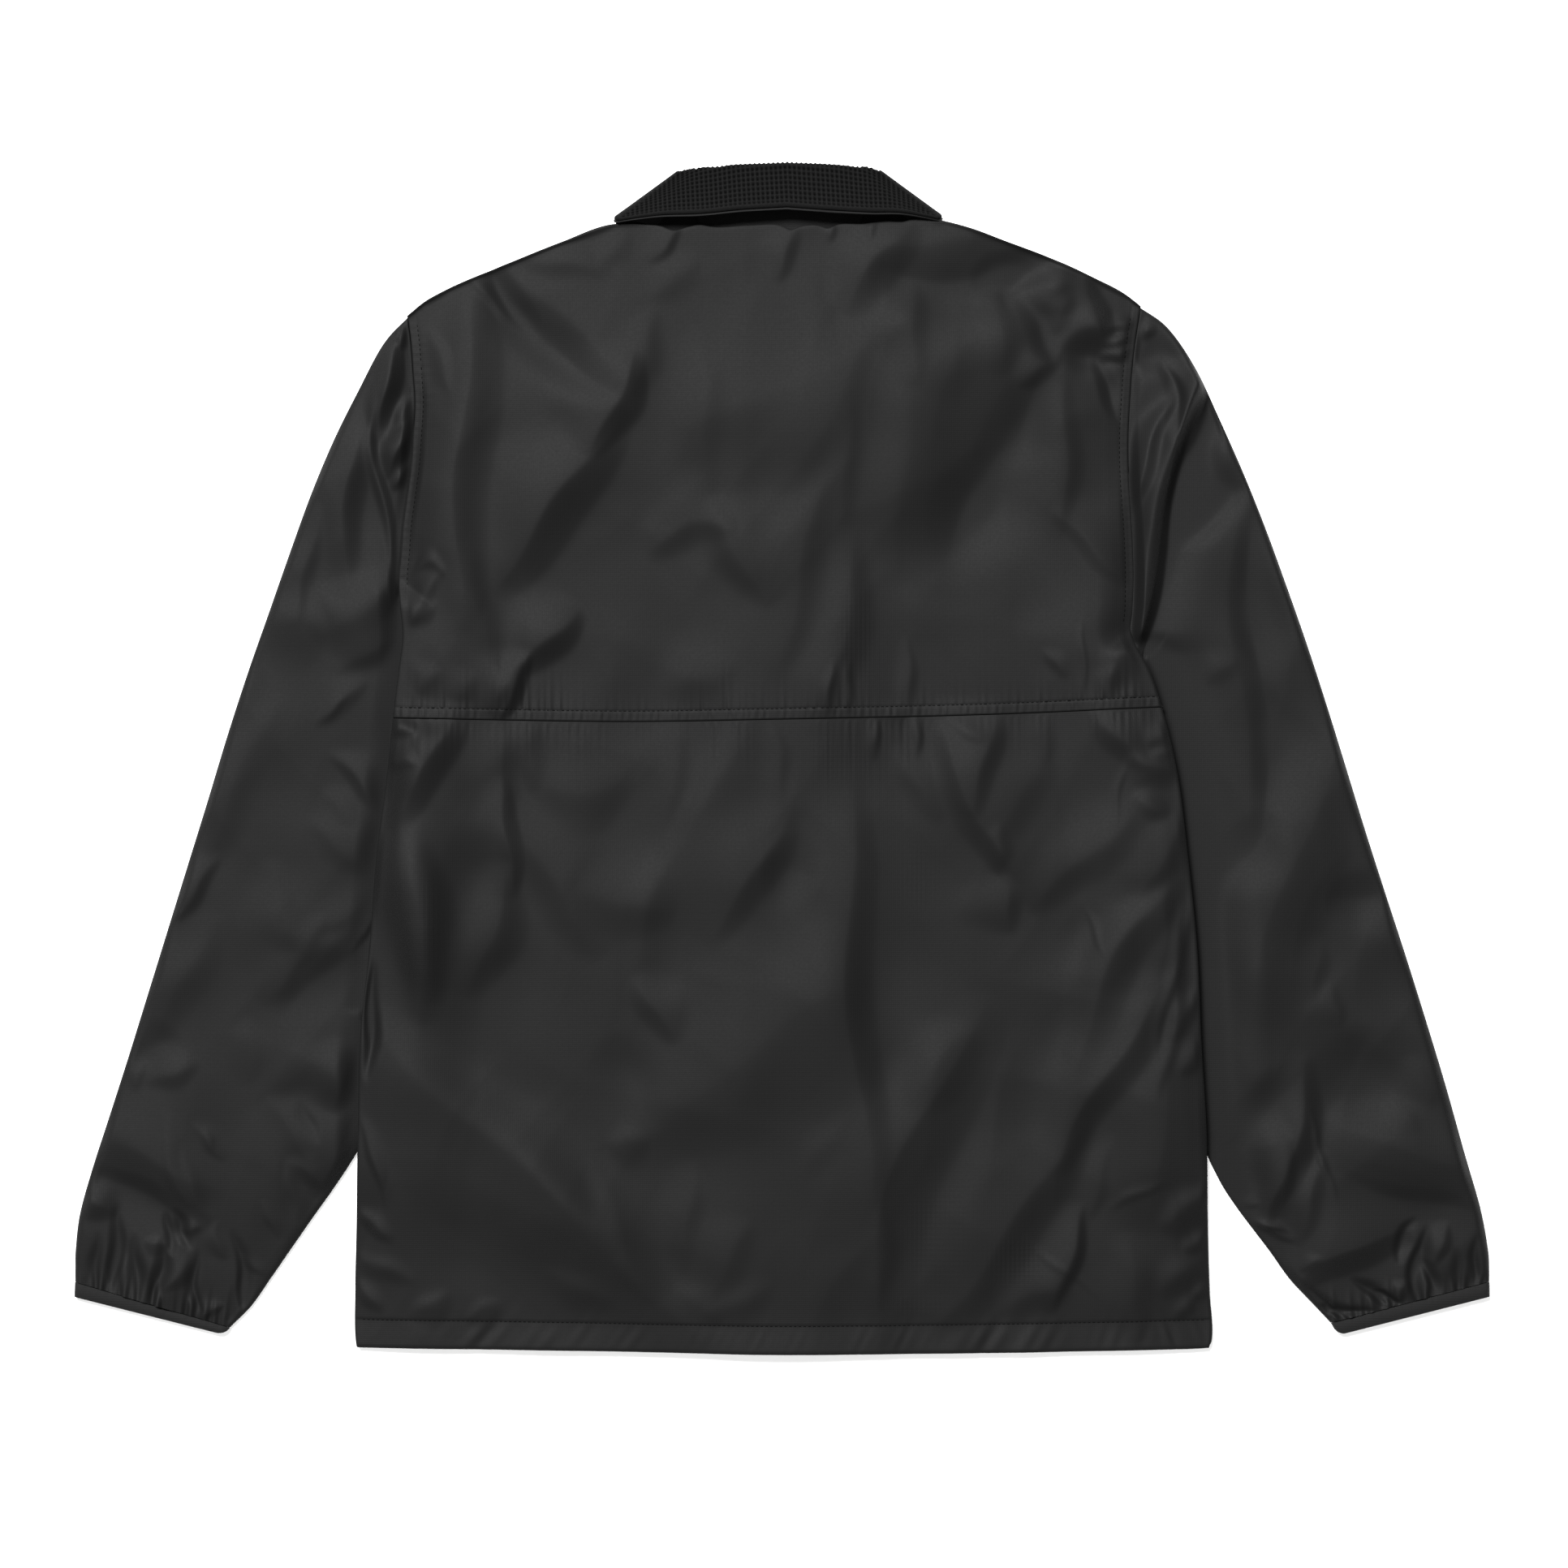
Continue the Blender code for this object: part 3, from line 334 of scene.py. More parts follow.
BACK_NECK = ((-109.7, 348.7), (-90.0, 348.3), (-80.0, 347.4), (-70.2, 344.4), (-62.0, 346.6), (-54.0, 348.1),
             (-46.0, 346.8), (-22.0, 347.7), (0.0, 347.3), (5.6, 345.0), (12.0, 347.0), (25.0, 347.2),
             (29.0, 345.8), (36.0, 348.1), (53.0, 348.6), (68.0, 350.2), (79.0, 350.0), (88.0, 353.0),
             (106.5, 350.2))
YOKE_SEAM = ((-254.1, 25.8), (-180.0, 24.4), (-110.0, 23.4), (0.0, 25.0), (150.0, 28.6), (248.4, 33.0))
HEM = ((-277.6, -385.3), (-120.0, -387.4), (-12.0, -389.4), (120.0, -388.8), (279.0, -386.0))
SEAM_GAP = 0.3
print("places measured along the body's sides:", len(YOKE_SIDES + BODY_SIDES))


# %% Curves and sheets through points
def ease(value, low, high):
    """0 below the first limit, 1 above the second and a smooth rise between them."""
    share = np.clip((np.asarray(value, float) - low) / (high - low), 0.0, 1.0)
    return share * share * (3.0 - 2.0 * share)


def smooth_through(at, known, values):
    """A smooth curve through a table's rows, read at the places asked for."""
    at, known, values = (np.asarray(v, float) for v in (at, known, values))
    slopes = np.gradient(values, known)
    last = np.clip(np.searchsorted(known, at, side="right") - 1, 0, len(known) - 2)
    span = known[last + 1] - known[last]
    share = np.clip((at - known[last]) / span, 0.0, 1.0)
    square, cube = share ** 2, share ** 3
    return ((2 * cube - 3 * square + 1) * values[last]
            + (cube - 2 * square + share) * span * slopes[last]
            + (3 * square - 2 * cube) * values[last + 1]
            + (cube - square) * span * slopes[last + 1])


def along(points, shares):
    """Points at shares of the length of a line through the table's points."""
    points = np.asarray(points, float)
    reach = np.concatenate([[0.0], np.cumsum(np.hypot(*np.diff(points, axis=0).T))])
    return np.stack([smooth_through(shares, reach / reach[-1], points[:, k]) for k in range(2)], axis=-1)


def side_x(y, side):
    """X of the body's edge at height y; side is -1 for left and 1 for right."""
    table = np.array(YOKE_SIDES + BODY_SIDES)[::-1]
    return smooth_through(y, table[:, 0], table[:, SIDE_COLUMNS.index("left" if side < 0 else "right")])


def side_line(top, bottom, side, shares):
    """A side edge of a panel between two corners."""
    y = top[1] + (bottom[1] - top[1]) * shares
    line = np.stack([side_x(y, side), y], axis=-1)
    line[0], line[-1] = top, bottom
    return line


def span_sheet(top, bottom, left, right, across, down):
    """A sheet of points spanned between four edge lines that share their corners."""
    s, t = across[None, :, None], down[:, None, None]
    corners = ((1 - s) * (1 - t) * top[0] + s * (1 - t) * top[-1]
               + (1 - s) * t * bottom[0] + s * t * bottom[-1])
    return (1 - t) * top[None] + t * bottom[None] + (1 - s) * left[:, None] + s * right[:, None] - corners


def steps(length, step, close_start=(), close_end=()):
    """Shares of a length at even steps, with closer ones at the given distances from its ends."""
    first = close_start[-1] if close_start else 0.0
    last = length - (close_end[-1] if close_end else 0.0)
    even = np.linspace(first, last, max(2, round((last - first) / step)))
    near = ([0.0] + list(close_start[:-1])) if close_start else []
    far = ([length - d for d in close_end[:-1]][::-1] + [length]) if close_end else []
    return np.concatenate([near, even, far]) / length


print("body at the chest:", round(float(side_x(80.0, 1) - side_x(80.0, -1))), "mm wide")

# %% [markdown]
# ## Creases
# Cloth that has been folded, shaken out and laid down keeps a net of ridges and hollows. Each one is a row
# in a table: a crest from one end to the other, how far it bows, its height (below nothing for a hollow),
# its width on each side and how crisp its edge is. Rows run downwards or to the left, so "left" is the side
# away from the lamp and "right" is the lit side. Placing them one by one from the photograph keeps the
# largest in their places; a simulation would make convincing folds in the wrong places.

# %% Crease maker
CREASE_COLUMNS = ("x0", "y0", "x1", "y1", "bow", "height", "left", "right", "crisp")
CREASE_REACH = 2.0          # how many widths out a crease's sides are followed
CREASE_PAST = 0.10          # share of its length by which a crease runs on past each end
CREASE_THIN = 0.40          # its width at the ends, as a share of the width in its middle
CREASE_WANDER = 0.022       # how far its line wanders, as a share of its length
WANDER_TURNS, WANDER_START = 1.2, 0.37  # waves of that in its length, and their shift from crease to crease
CREASE_SOFT = 1.5           # how fast a soft crease falls away beside its crest
CREASE_CREST = 0.06         # how round a crisp crease's crest is, and its foot
CREASE_FOOT = 0.004
CREASE_LIT = 0.2            # how much of its crispness its lit side has
CREASE_TAPER = 1.3          # how fast it fades towards its ends
CREASE_STRENGTH = 1.3       # all heights are drawn this much stronger


def crease_height(x, y, creases):
    """Sum of the creases' heights at the given places."""
    total = np.zeros_like(x)
    for number, row in enumerate(creases):
        c = dict(zip(CREASE_COLUMNS, row))
        run_x, run_y = c["x1"] - c["x0"], c["y1"] - c["y0"]
        length = math.hypot(run_x, run_y)
        reach = CREASE_REACH * max(c["left"], c["right"]) + abs(c["bow"]) + CREASE_PAST * length
        near = ((x > min(c["x0"], c["x1"]) - reach) & (x < max(c["x0"], c["x1"]) + reach)
                & (y > min(c["y0"], c["y1"]) - reach) & (y < max(c["y0"], c["y1"]) + reach))
        dx, dy = x[near] - c["x0"], y[near] - c["y0"]
        share = (dx * run_x + dy * run_y) / length ** 2
        inside = np.clip(share, 0.0, 1.0)
        wander = CREASE_WANDER * length * np.sin(2 * np.pi * (WANDER_TURNS * inside + WANDER_START * number))
        off = (dy * run_x - dx * run_y) / length - c["bow"] * 4 * inside * (1 - inside) - wander
        lens = np.sin(np.pi * np.clip((share + CREASE_PAST) / (1 + 2 * CREASE_PAST), 0.0, 1.0))
        width = np.where(off > 0, c["left"], c["right"]) * (CREASE_THIN + (1 - CREASE_THIN) * lens)
        away = np.abs(off) / width
        soft = np.exp(-(CREASE_SOFT * away) ** 2)
        left_over = (1 - np.sqrt(away ** 2 + CREASE_CREST ** 2) + CREASE_CREST) / 2
        sharp = left_over + np.sqrt(left_over ** 2 + CREASE_FOOT)
        crisp = c["crisp"] * np.where((off > 0) == (c["height"] > 0), 1.0, CREASE_LIT)
        total[near] += c["height"] * (soft + (sharp - soft) * crisp) * lens ** CREASE_TAPER
    return CREASE_STRENGTH * total


print("sizes of a crease:", ", ".join(CREASE_COLUMNS))

# %% Creases of the yoke
YOKE_CREASES = (
    # beside the left armhole
    (-205, 298, -212, 100, -2, 7.4, 25, 34, 0.6),
    (-206, 134, -188, 50, 0, 1.6, 16, 22, 0.2),
    (-229, 280, -217, 240, 0, 1.0, 7, 10, 0.5),
    (-220, 121, -241, 121, -7, 1.2, 6, 9, 0.5),
    (-222, 122, -250, 84, 0, 1.6, 7, 12, 0.6),
    (-226, 100, -246, 86, 0, 1.2, 7, 10, 0.4),
    # streaks down from the left shoulder
    (-104, 238, -191, 320, 13, -4.4, 24, 20, 0.8),
    (-162, 278, -192, 320, 2, -2.2, 12, 12, 0.8),
    (-172, 281, -205, 314, 0, 1.4, 5, 9, 0.6),
    (-116, 320, -172, 328, 0, 1.8, 12, 20, 0.25),
    (-100, 346, -118, 322, 0, 0.9, 12, 16, 0.2),
    (-56, 326, -84, 302, 0, 1.1, 14, 18, 0.2),
    (-67, 348, -86, 324, 2, 1.5, 5, 14, 0.7),
    # the strong diagonal
    (-96, 262, -125, 202, 2, 5.6, 16, 46, 0.85),
    (-113, 214, -185, 116, -1, 7.2, 23, 46, 0.8),
    (-84, 290, -98, 236, 0, 1.5, 14, 20, 0.2),
    (-54, 272, -50, 170, 0, 1.4, 16, 26, 0.2),
    # arch above the seam
    (-34, 152, -86, 136, -9, 2.6, 16, 44, 0.4),
    (-12, 104, -46, 164, 0, 2.9, 18, 36, 0.25),
    # black fold left of the middle
    (-134, 95, -176, 60, 2, 5.0, 14, 34, 0.75),
    (-166, 66, -184, 26, 0, 4.4, 7, 30, 0.8),
    (-172, 62, -190, 32, 0, 1.2, 9, 12, 0.4),
    (-224, 58, -238, 44, 0, 1.0, 10, 16, 0.3),
    (-200, 54, -214, 38, 0, 1.0, 10, 16, 0.3),
    (-30, 60, -78, 46, 0, 1.1, 18, 26, 0.2),
    # neck
    (8, 346, -4, 312, 0, 1.6, 8, 18, 0.5),
    (33, 351, 31, 337, 0, 0.8, 4, 6, 0.6),
    (59, 352, 57, 338, 0, 0.8, 4, 6, 0.6),
    # right shoulder
    (172, 317, 66, 317, 6, -5.8, 42, 27, 0.85),
    (182, 327, 128, 312, 3, -3.2, 24, 18, 0.8),
    (82, 347, 41, 294, -4, 4.2, 20, 34, 0.65),
    (118, 286, 42, 282, -3, 1.6, 24, 30, 0.2),
    (204, 312, 150, 300, -3, 3.8, 19, 24, 0.75),
    (187, 302, 177, 278, 0, 1.2, 9, 12, 0.4),
    (198, 313, 211, 262, 0, 3.2, 10, 16, 0.75),
    (234, 284, 212, 281, 0, 1.9, 5, 8, 0.7),
    (232, 275, 210, 270, 0, 2.2, 5, 7, 0.8),
    (232, 266, 208, 262, 0, 2.2, 5, 7, 0.8),
    (214, 284, 182, 270, -3, 2.4, 16, 20, 0.5),
    (218, 260, 184, 264, 0, -2.6, 14, 18, 0.7),
    (206, 260, 220, 220, 0, -2.2, 9, 7, 0.6),
    (226, 233, 164, 211, -4, 1.0, 20, 46, 0.25),
    (184, 246, 183, 152, 0, 1.8, 12, 24, 0.3),
    (226, 114, 180, 160, 0, 2.6, 10, 30, 0.6),
    # large dark facet right of the middle
    (166, 246, 106, 126, 3, -6.0, 44, 64, 0.85),
    (168, 244, 136, 188, 3, -1.8, 26, 22, 0.9),
    (140, 198, 106, 132, 0, -1.8, 26, 24, 0.9),
    (124, 274, 80, 246, 0, 1.6, 26, 34, 0.3),
    (82, 262, 77, 126, 0, 3.6, 44, 30, 0.5),
    (84, 308, 86, 248, 0, 1.2, 12, 20, 0.3),
    (139, 306, 144, 254, 0, 1.8, 16, 26, 0.3),
    (156, 302, 178, 254, 2, -1.8, 14, 10, 0.4),
    (180, 262, 154, 244, 0, 1.6, 8, 16, 0.5),
    # soft diagonals down the middle
    (58, 278, 6, 180, 0, 2.4, 24, 44, 0.2),
    (44, 226, 38, 158, 0, 1.1, 12, 18, 0.2),
    (24, 178, -2, 60, 0, 2.4, 18, 30, 0.25),
    (48, 138, 26, 24, 2, 2.8, 17, 32, 0.35),
    (33, 62, 28, 28, 0, 1.0, 4, 6, 0.5),
    (44, 64, 42, 28, 0, 1.0, 4, 6, 0.6),
    (82, 76, 83, 28, 0, 1.0, 6, 10, 0.3),
    (186, 54, 171, 70, 0, 0.9, 6, 9, 0.3),
    (196, 88, 196, 36, 0, 0.6, 3, 4, 0.8),
    (227, 82, 214, 50, 0, 2.4, 18, 14, 0.7),
    (216, 60, 210, 40, 0, 1.2, 8, 10, 0.4),
)
print("creases on the yoke:", len(YOKE_CREASES))

# %% Creases of the lower back
LOWER_CREASES = (
    # left side under the seam
    (-238, 18, -261, 15, -3, 3.6, 7, 12, 0.7),
    (-238, -3, -258, -4, -2, 2.2, 7, 11, 0.7),
    (-235, 28, -233, 0, 0, 1.0, 6, 9, 0.4),
    (-212, 34, -254, -40, 2, 5.4, 15, 24, 0.8),
    (-246, -38, -232, -162, 1, 4.8, 24, 30, 0.25),
    (-234, -60, -229, -152, 0, 2.8, 16, 24, 0.35),
    (-248, 12, -238, -172, 0, 3.4, 64, 16, 0.2),
    (-234, 44, -238, -92, 0, 3.0, 54, 22, 0.2),
    (-185, 36, -181, -34, 0, 2.2, 12, 24, 0.4),
    (-184, -18, -176, -86, 0, 3.6, 10, 34, 0.8),
    (-178, -76, -204, -150, 2, 3.4, 20, 34, 0.5),
    (-168, 32, -163, -18, 0, 1.8, 12, 18, 0.4),
    (-268, -138, -270, -206, 0, -5.2, 7, 7, 0.5),
    # middle left
    (-101, -14, -164, -18, 6, 2.8, 28, 40, 0.45),
    (-122, -122, -176, -38, 0, 3.2, 22, 40, 0.3),
    (-74, -100, -130, -88, 0, 2.2, 24, 36, 0.4),
    (-34, 10, -98, -146, -4, 2.6, 40, 20, 0.2),
    (-70, -182, -96, -146, 0, 2.2, 12, 26, 0.6),
    (-62, 30, -77, -58, -3, 1.2, 12, 20, 0.2),
    (4, -36, -46, -114, 2, 2.8, 16, 46, 0.6),
    (22, -80, -10, -68, 0, -1.7, 28, 24, 0.7),
    (-8, 28, -1, -28, 2, 0.8, 8, 12, 0.2),
    # long vertical crest and the notch
    (41, -28, 54, -282, -2, 4.0, 19, 44, 0.55),
    (44, -148, -86, -246, -6, 3.6, 48, 60, 0.45),
    (42, -234, 14, -270, 0, 0.6, 14, 14, 0.3),
    # the V right of the middle
    (102, -38, 74, 4, 0, 1.3, 12, 22, 0.3),
    (158, -90, 97, 34, 3, 4.0, 15, 44, 0.6),
    (140, 32, 123, -34, 0, 2.7, 11, 30, 0.6),
    (173, 34, 170, -4, 0, 0.8, 8, 16, 0.4),
    (61, 30, 60, 0, 0, 1.2, 4, 7, 0.7),
    (82, 31, 62, 30, 0, 1.4, 16, 5, 0.3),
    (88, 32, 88, 2, 0, 1.2, 4, 6, 0.6),
    (132, 11, 108, 25, 0, 1.1, 6, 14, 0.5),
    (172, 0, 138, -50, 0, 1.2, 16, 30, 0.3),
    (142, -44, 141, -74, 0, 1.1, 9, 12, 0.4),
    (147, -78, 147, -112, 0, 1.7, 10, 34, 0.65),
    # right side under the seam
    (238, -4, 204, 28, 0, 2.6, 12, 22, 0.6),
    (256, 21, 238, 8, 0, 1.8, 8, 12, 0.6),
    (258, 4, 240, 2, 0, 1.1, 5, 8, 0.6),
    (257, -10, 226, -1, 0, 2.4, 16, 12, 0.6),
    (250, -37, 229, -25, 0, 2.0, 10, 12, 0.6),
    (226, 0, 217, -44, -2, 0.5, 2.5, 4, 0.8),
    (262, -42, 234, -88, 0, 2.0, 12, 30, 0.3),
    (232, -34, 164, -94, 0, 2.8, 18, 32, 0.45),
    (249, -86, 190, -202, -9, 4.8, 20, 24, 0.6),
    (251, -86, 245, -150, 0, 2.0, 10, 18, 0.5),
    (209, -128, 198, -96, 0, 0.5, 3, 4, 0.8),
    (268, -90, 246, -216, 0, 1.6, 7, 12, 0.4),
    (262, -100, 244, -190, 0, 1.2, 5, 9, 0.4),
    (274, -150, 254, -182, 0, 1.8, 8, 12, 0.5),
    (274, -186, 260, -206, 0, 1.6, 8, 12, 0.5),
    # the long diagonal at the right
    (248, -150, 180, -262, -3, 5.4, 17, 38, 0.7),
    (192, -240, 100, -368, 4, 4.8, 22, 60, 0.5),
    (258, -186, 241, -300, -3, 4.0, 32, 50, 0.7),
    (248, -277, 214, -293, 0, 0.7, 3, 6, 0.7),
    (213, -250, 201, -298, 0, 1.2, 8, 14, 0.4),
    (196, -296, 177, -358, 1.5, 3.4, 7, 24, 0.75),
    (186, -345, 142, -360, -3, 2.0, 15, 28, 0.4),
    (205, -351, 158, -315, 0, 0.4, 3, 4, 0.8),
    (226, -314, 231, -376, 0, 2.2, 16, 26, 0.5),
    (279, -282, 248, -306, 0, 2.6, 16, 14, 0.6),
    (279, -312, 262, -322, 0, 1.6, 6, 10, 0.6),
    (278, -324, 246, -348, 0, 1.7, 12, 15, 0.5),
    (279, -345, 268, -352, 0, 1.1, 5, 7, 0.6),
    (270, -352, 256, -366, 0, 1.0, 6, 8, 0.4),
    # bright wedge and the hollow beside it
    (126, -172, 58, -372, -18, 6.2, 34, 44, 0.92),
    (122, -178, 84, -224, -4, 2.0, 26, 30, 0.8),
    (66, -296, 62, -366, 0, 1.2, 12, 14, 0.2),
    # large facet at the lower left
    (-62, -364, -262, -174, 7, 7.6, 62, 36, 0.95),
    (-112, -318, -170, -262, 0, 2.2, 44, 24, 0.8),
    (-120, -266, -90, -350, 0, 2.6, 30, 18, 0.6),
    (-88, -250, -114, -252, 0, 1.2, 18, 13, 0.2),
    (-108, -184, -84, -240, -2, -1.8, 24, 28, 0.4),
    (-58, -268, -66, -332, 0, 1.3, 11, 30, 0.5),
    (-24, -304, -48, -352, 0, 1.4, 14, 34, 0.45),
    (-8, -346, -50, -364, 0, 1.0, 14, 16, 0.4),
    (-40, -366, -68, -346, 0, 0.9, 12, 14, 0.4),
    (-112, -356, -152, -337, 0, 0.8, 14, 12, 0.4),
    (-218, -350, -242, -363, 0, 1.1, 14, 8, 0.3),
    (-186, -354, -206, -366, 0, 0.9, 12, 7, 0.3),
    # ripples at the left edge
    (-260, -290, -277, -236, -3, 1.5, 4, 10, 0.6),
    (-256, -314, -278, -296, 0, 1.7, 5, 9, 0.6),
    (-242, -340, -278, -326, 0, 1.1, 9, 9, 0.3),
    (-262, -360, -280, -343, 0, 1.4, 6, 9, 0.5),
)
print("creases on the lower back:", len(LOWER_CREASES))

# %% [markdown]
# ## Form of the back
# The back lies on the fronts, which lie on the table. It rises over whatever is underneath: the sleeves'
# edges along the sides, the collar's points at the neck and the overlapping front edges in the middle. It
# could be sculpted by hand; a height worked out for any place lets yoke, lower back and stitches meet
# without fitting.

# %% Form of the back
SIDE_LIFT = SLEEVE_EDGE + 0.9
SIDE_LIFT_FULL, SIDE_LIFT_END = 27.0, 80.0
FRONT_LATER = 2.0
LIFT_COLUMNS = ("side", "starts", "full", "full_to", "ends")
LIFTS = (
    (-1, 118.0, 97.0, -258.0, -330.0),
    (1, 84.0, 67.0, -266.0, -335.0),
)
NECK_LIFT, NECK_LIFT_Y, NECK_LIFT_X = 3.1, (150.0, 234.0), (124.0, 200.0)
OVERLAP_HALF, PLACKET_LIFT, OVERLAP_RUN, OVERLAP_MARGIN = 14.0, 1.5, 34.0, 3.0
OVERLAP_LIFT = PLACKET_LIFT + WALL + SEAM_GAP
CENTRE_FLAT, CENTRE_RUN, CENTRE_FADE_Y = 6.0, 68.0, (225.0, 346.0)
BACK_LIFT_Y = {-1: (97.0, 190.0), 1: (67.0, 155.0)}     # the back rises inside its edges over these heights
BACK_LIFT_END, BACK_LIFT_IN = (-388.0, -250.0), 24.0
LOFT_COLUMNS = ("x", "y", "half_wide", "half_tall", "height")
LOFTS = (                   # broad swells where air is trapped between the back and the fronts
    (118.0, 236.0, 112.0, 122.0, 5.0),
    (112.0, 334.0, 84.0, 46.0, 3.6),
    (-150.0, 230.0, 95.0, 120.0, 2.0),
    (0.0, -190.0, 240.0, 190.0, 1.6),
)
SHOULDER_ROLL, SHOULDER_RUN = 1.8, 34.0     # the fall towards the shoulder seams, and over what distance
SHOULDER_X = (70.0, 140.0)
REST_GAP, REST_SOFT = 0.5, 0.6
EDGE_ROLL = 2.6             # the turned edges are rounded over this distance
EDGE_DROP = 1.5
EDGE_STEEP = 0.98           # just short of upright at the very edge


def side_lift(x, y):
    """How far the sleeves' edges underneath lift the body's sides."""
    total = np.zeros_like(x)
    for row in LIFTS:
        lift = dict(zip(LIFT_COLUMNS, row))
        inside = np.abs(x - side_x(y, lift["side"]))
        window = (1 - ease(y, lift["full"], lift["starts"])) * ease(y, lift["ends"], lift["full_to"])
        total += SIDE_LIFT * window * (1 - ease(inside, SIDE_LIFT_FULL, SIDE_LIFT_END))
    return total


def back_lift(x, y):
    """The back's own lift: the same over the sleeves, and fading gently above and below them."""
    total = side_lift(x, y)
    for side, rise in BACK_LIFT_Y.items():
        inside = np.abs(x - side_x(y, side))
        window = (1 - ease(y, *rise)) * ease(y, *BACK_LIFT_END) * ease(inside, 0.0, BACK_LIFT_IN)
        total = np.maximum(total, SIDE_LIFT * window * (1 - ease(inside, SIDE_LIFT_FULL, SIDE_LIFT_END)))
    return total


def neck_lift(x, y):
    """How far the collar's points underneath lift the cloth below the neck."""
    return NECK_LIFT * ease(y, *NECK_LIFT_Y) * (1 - ease(np.abs(x), *NECK_LIFT_X))


def from_middle(x, y, patch):
    """How far out of an oval patch a place is: 0 in its middle and 1 at its rim."""
    return ((x - patch["x"]) / patch["half_wide"]) ** 2 + ((y - patch["y"]) / patch["half_tall"]) ** 2


def loft(x, y):
    """Height of the broad swells."""
    total = np.zeros_like(x)
    for row in LOFTS:
        swell = dict(zip(LOFT_COLUMNS, row))
        total += swell["height"] * np.clip(1 - from_middle(x, y, swell), 0.0, None) ** 2
    return total


print("lift over the sleeves:", round(SIDE_LIFT, 1), "mm")


# %% Edges and rests of the back
def edge_roll(distance):
    """How far a turned edge drops at a distance in from it."""
    left = np.clip(1 - distance / EDGE_ROLL, 0.0, 1.0)
    return EDGE_DROP * (1 - np.sqrt(1 - left ** 2 * EDGE_STEEP))


def shoulder_fall(x, y):
    """How far the cloth falls towards the shoulder seams."""
    under = np.clip(np.interp(x, *np.array(SHOULDER_LEFT + SHOULDER_RIGHT).T) - y, 0.0, None)
    rounded = (1 - ease(under, 0.0, SHOULDER_RUN)) * ease(under, 0.0, EDGE_ROLL)
    return SHOULDER_ROLL * rounded * ease(np.abs(x), *SHOULDER_X)


def back_form(x, y):
    """Outer face of the back before its creases, and the distance in from its side edges."""
    middle = np.clip(np.abs(x) - OVERLAP_HALF, 0.0, None)
    high = 1 - ease(y, *CENTRE_FADE_Y)
    centre = OVERLAP_LIFT * (1 - ease(middle, CENTRE_FLAT, CENTRE_RUN)) * high
    from_edge = np.minimum(np.abs(x - side_x(y, -1)), np.abs(side_x(y, 1) - x))
    crown = CROWN * ease(from_edge, 0.0, CROWN_RUN) * high
    loose = LAYER_GAP + LOOSE_GAP * ease(from_edge, 0.0, LOOSE_RUN)
    return (FRONT_TOP + loose + back_lift(x, y) + neck_lift(x, y) + centre + crown + loft(x, y)
            + WALL), from_edge


def front_inside(x, y, side):
    """Height of a front's upper face; the right front's edge lies on the left front's."""
    from_flat = side * x - OVERLAP_HALF - OVERLAP_MARGIN
    rise_by = PLACKET_LIFT if side < 0 else OVERLAP_LIFT
    overlap = rise_by * (1 - ease(from_flat, 0.0, OVERLAP_RUN))
    return FRONT_TOP + side_lift(x, y + FRONT_LATER) + neck_lift(x, y) + overlap


def come_to_rest(z, rest):
    """A height that settles softly on what is underneath and never goes below it."""
    half = (z - rest) / 2
    return rest + half + np.sqrt(half ** 2 + REST_SOFT ** 2)


def above_fronts(x, y, z):
    """The back's height where its hollows come to rest on the fronts."""
    from_flat = np.abs(x) - OVERLAP_HALF - OVERLAP_MARGIN
    overlap = OVERLAP_LIFT * (1 - ease(from_flat, 0.0, OVERLAP_RUN)) * (1 - ease(y, *CENTRE_FADE_Y))
    rest = FRONT_TOP + side_lift(x, y + FRONT_LATER) + neck_lift(x, y) + overlap + REST_GAP
    return come_to_rest(z, rest)


print("back above the table in its middle:", round(float(back_form(np.zeros(1), np.zeros(1))[0][0]), 1), "mm")

# %% [markdown]
# ## Unevenness
# Between the creases no cloth is quite flat. A few long waves and faint packing folds, drawn once from a
# fixed seed, keep the plain areas alive and are the same on every run.

# %% Unevenness of laid cloth
RIPPLE_WAVES, RIPPLE_HEIGHT = 12, 0.14
RIPPLE_PITCH = (55.0, 140.0)
CRUMPLE_FOLDS, CRUMPLE_SLOPE, CRUMPLE_MEAN = 9, 0.0095, 0.64
CRUMPLE_PITCH = (42.0, 100.0)
CRUMPLE_BEND, CRUMPLE_BEND_RUN = 0.25, 4.3    # a fold bends by this share of its pitch over so many pitches
CRUMPLE_ROUND = 0.012       # how round its crest is
CRUMPLE_PATCH, CRUMPLE_SHOWS = 3.1, (-0.4, 1.2)    # folds come and go over so many pitches

ripple_draw = np.random.default_rng(41)
ripple_turn = ripple_draw.uniform(0.0, math.pi, RIPPLE_WAVES)
ripple_pitch = ripple_draw.uniform(*RIPPLE_PITCH, RIPPLE_WAVES)
ripple_start = ripple_draw.uniform(0.0, 2 * math.pi, RIPPLE_WAVES)
crumple_turn = ripple_draw.uniform(0.0, math.pi, CRUMPLE_FOLDS)
crumple_pitch = ripple_draw.uniform(*CRUMPLE_PITCH, CRUMPLE_FOLDS)
crumple_start = ripple_draw.uniform(0.0, 2 * math.pi, CRUMPLE_FOLDS)


def ripple(x, y):
    """Small unevenness that all laid cloth has."""
    total = np.zeros_like(x)
    for angle, pitch, start in zip(ripple_turn, ripple_pitch, ripple_start):
        total += np.sin(2 * np.pi * (x * math.cos(angle) + y * math.sin(angle)) / pitch + start)
    return RIPPLE_HEIGHT * total + crumple(x, y)


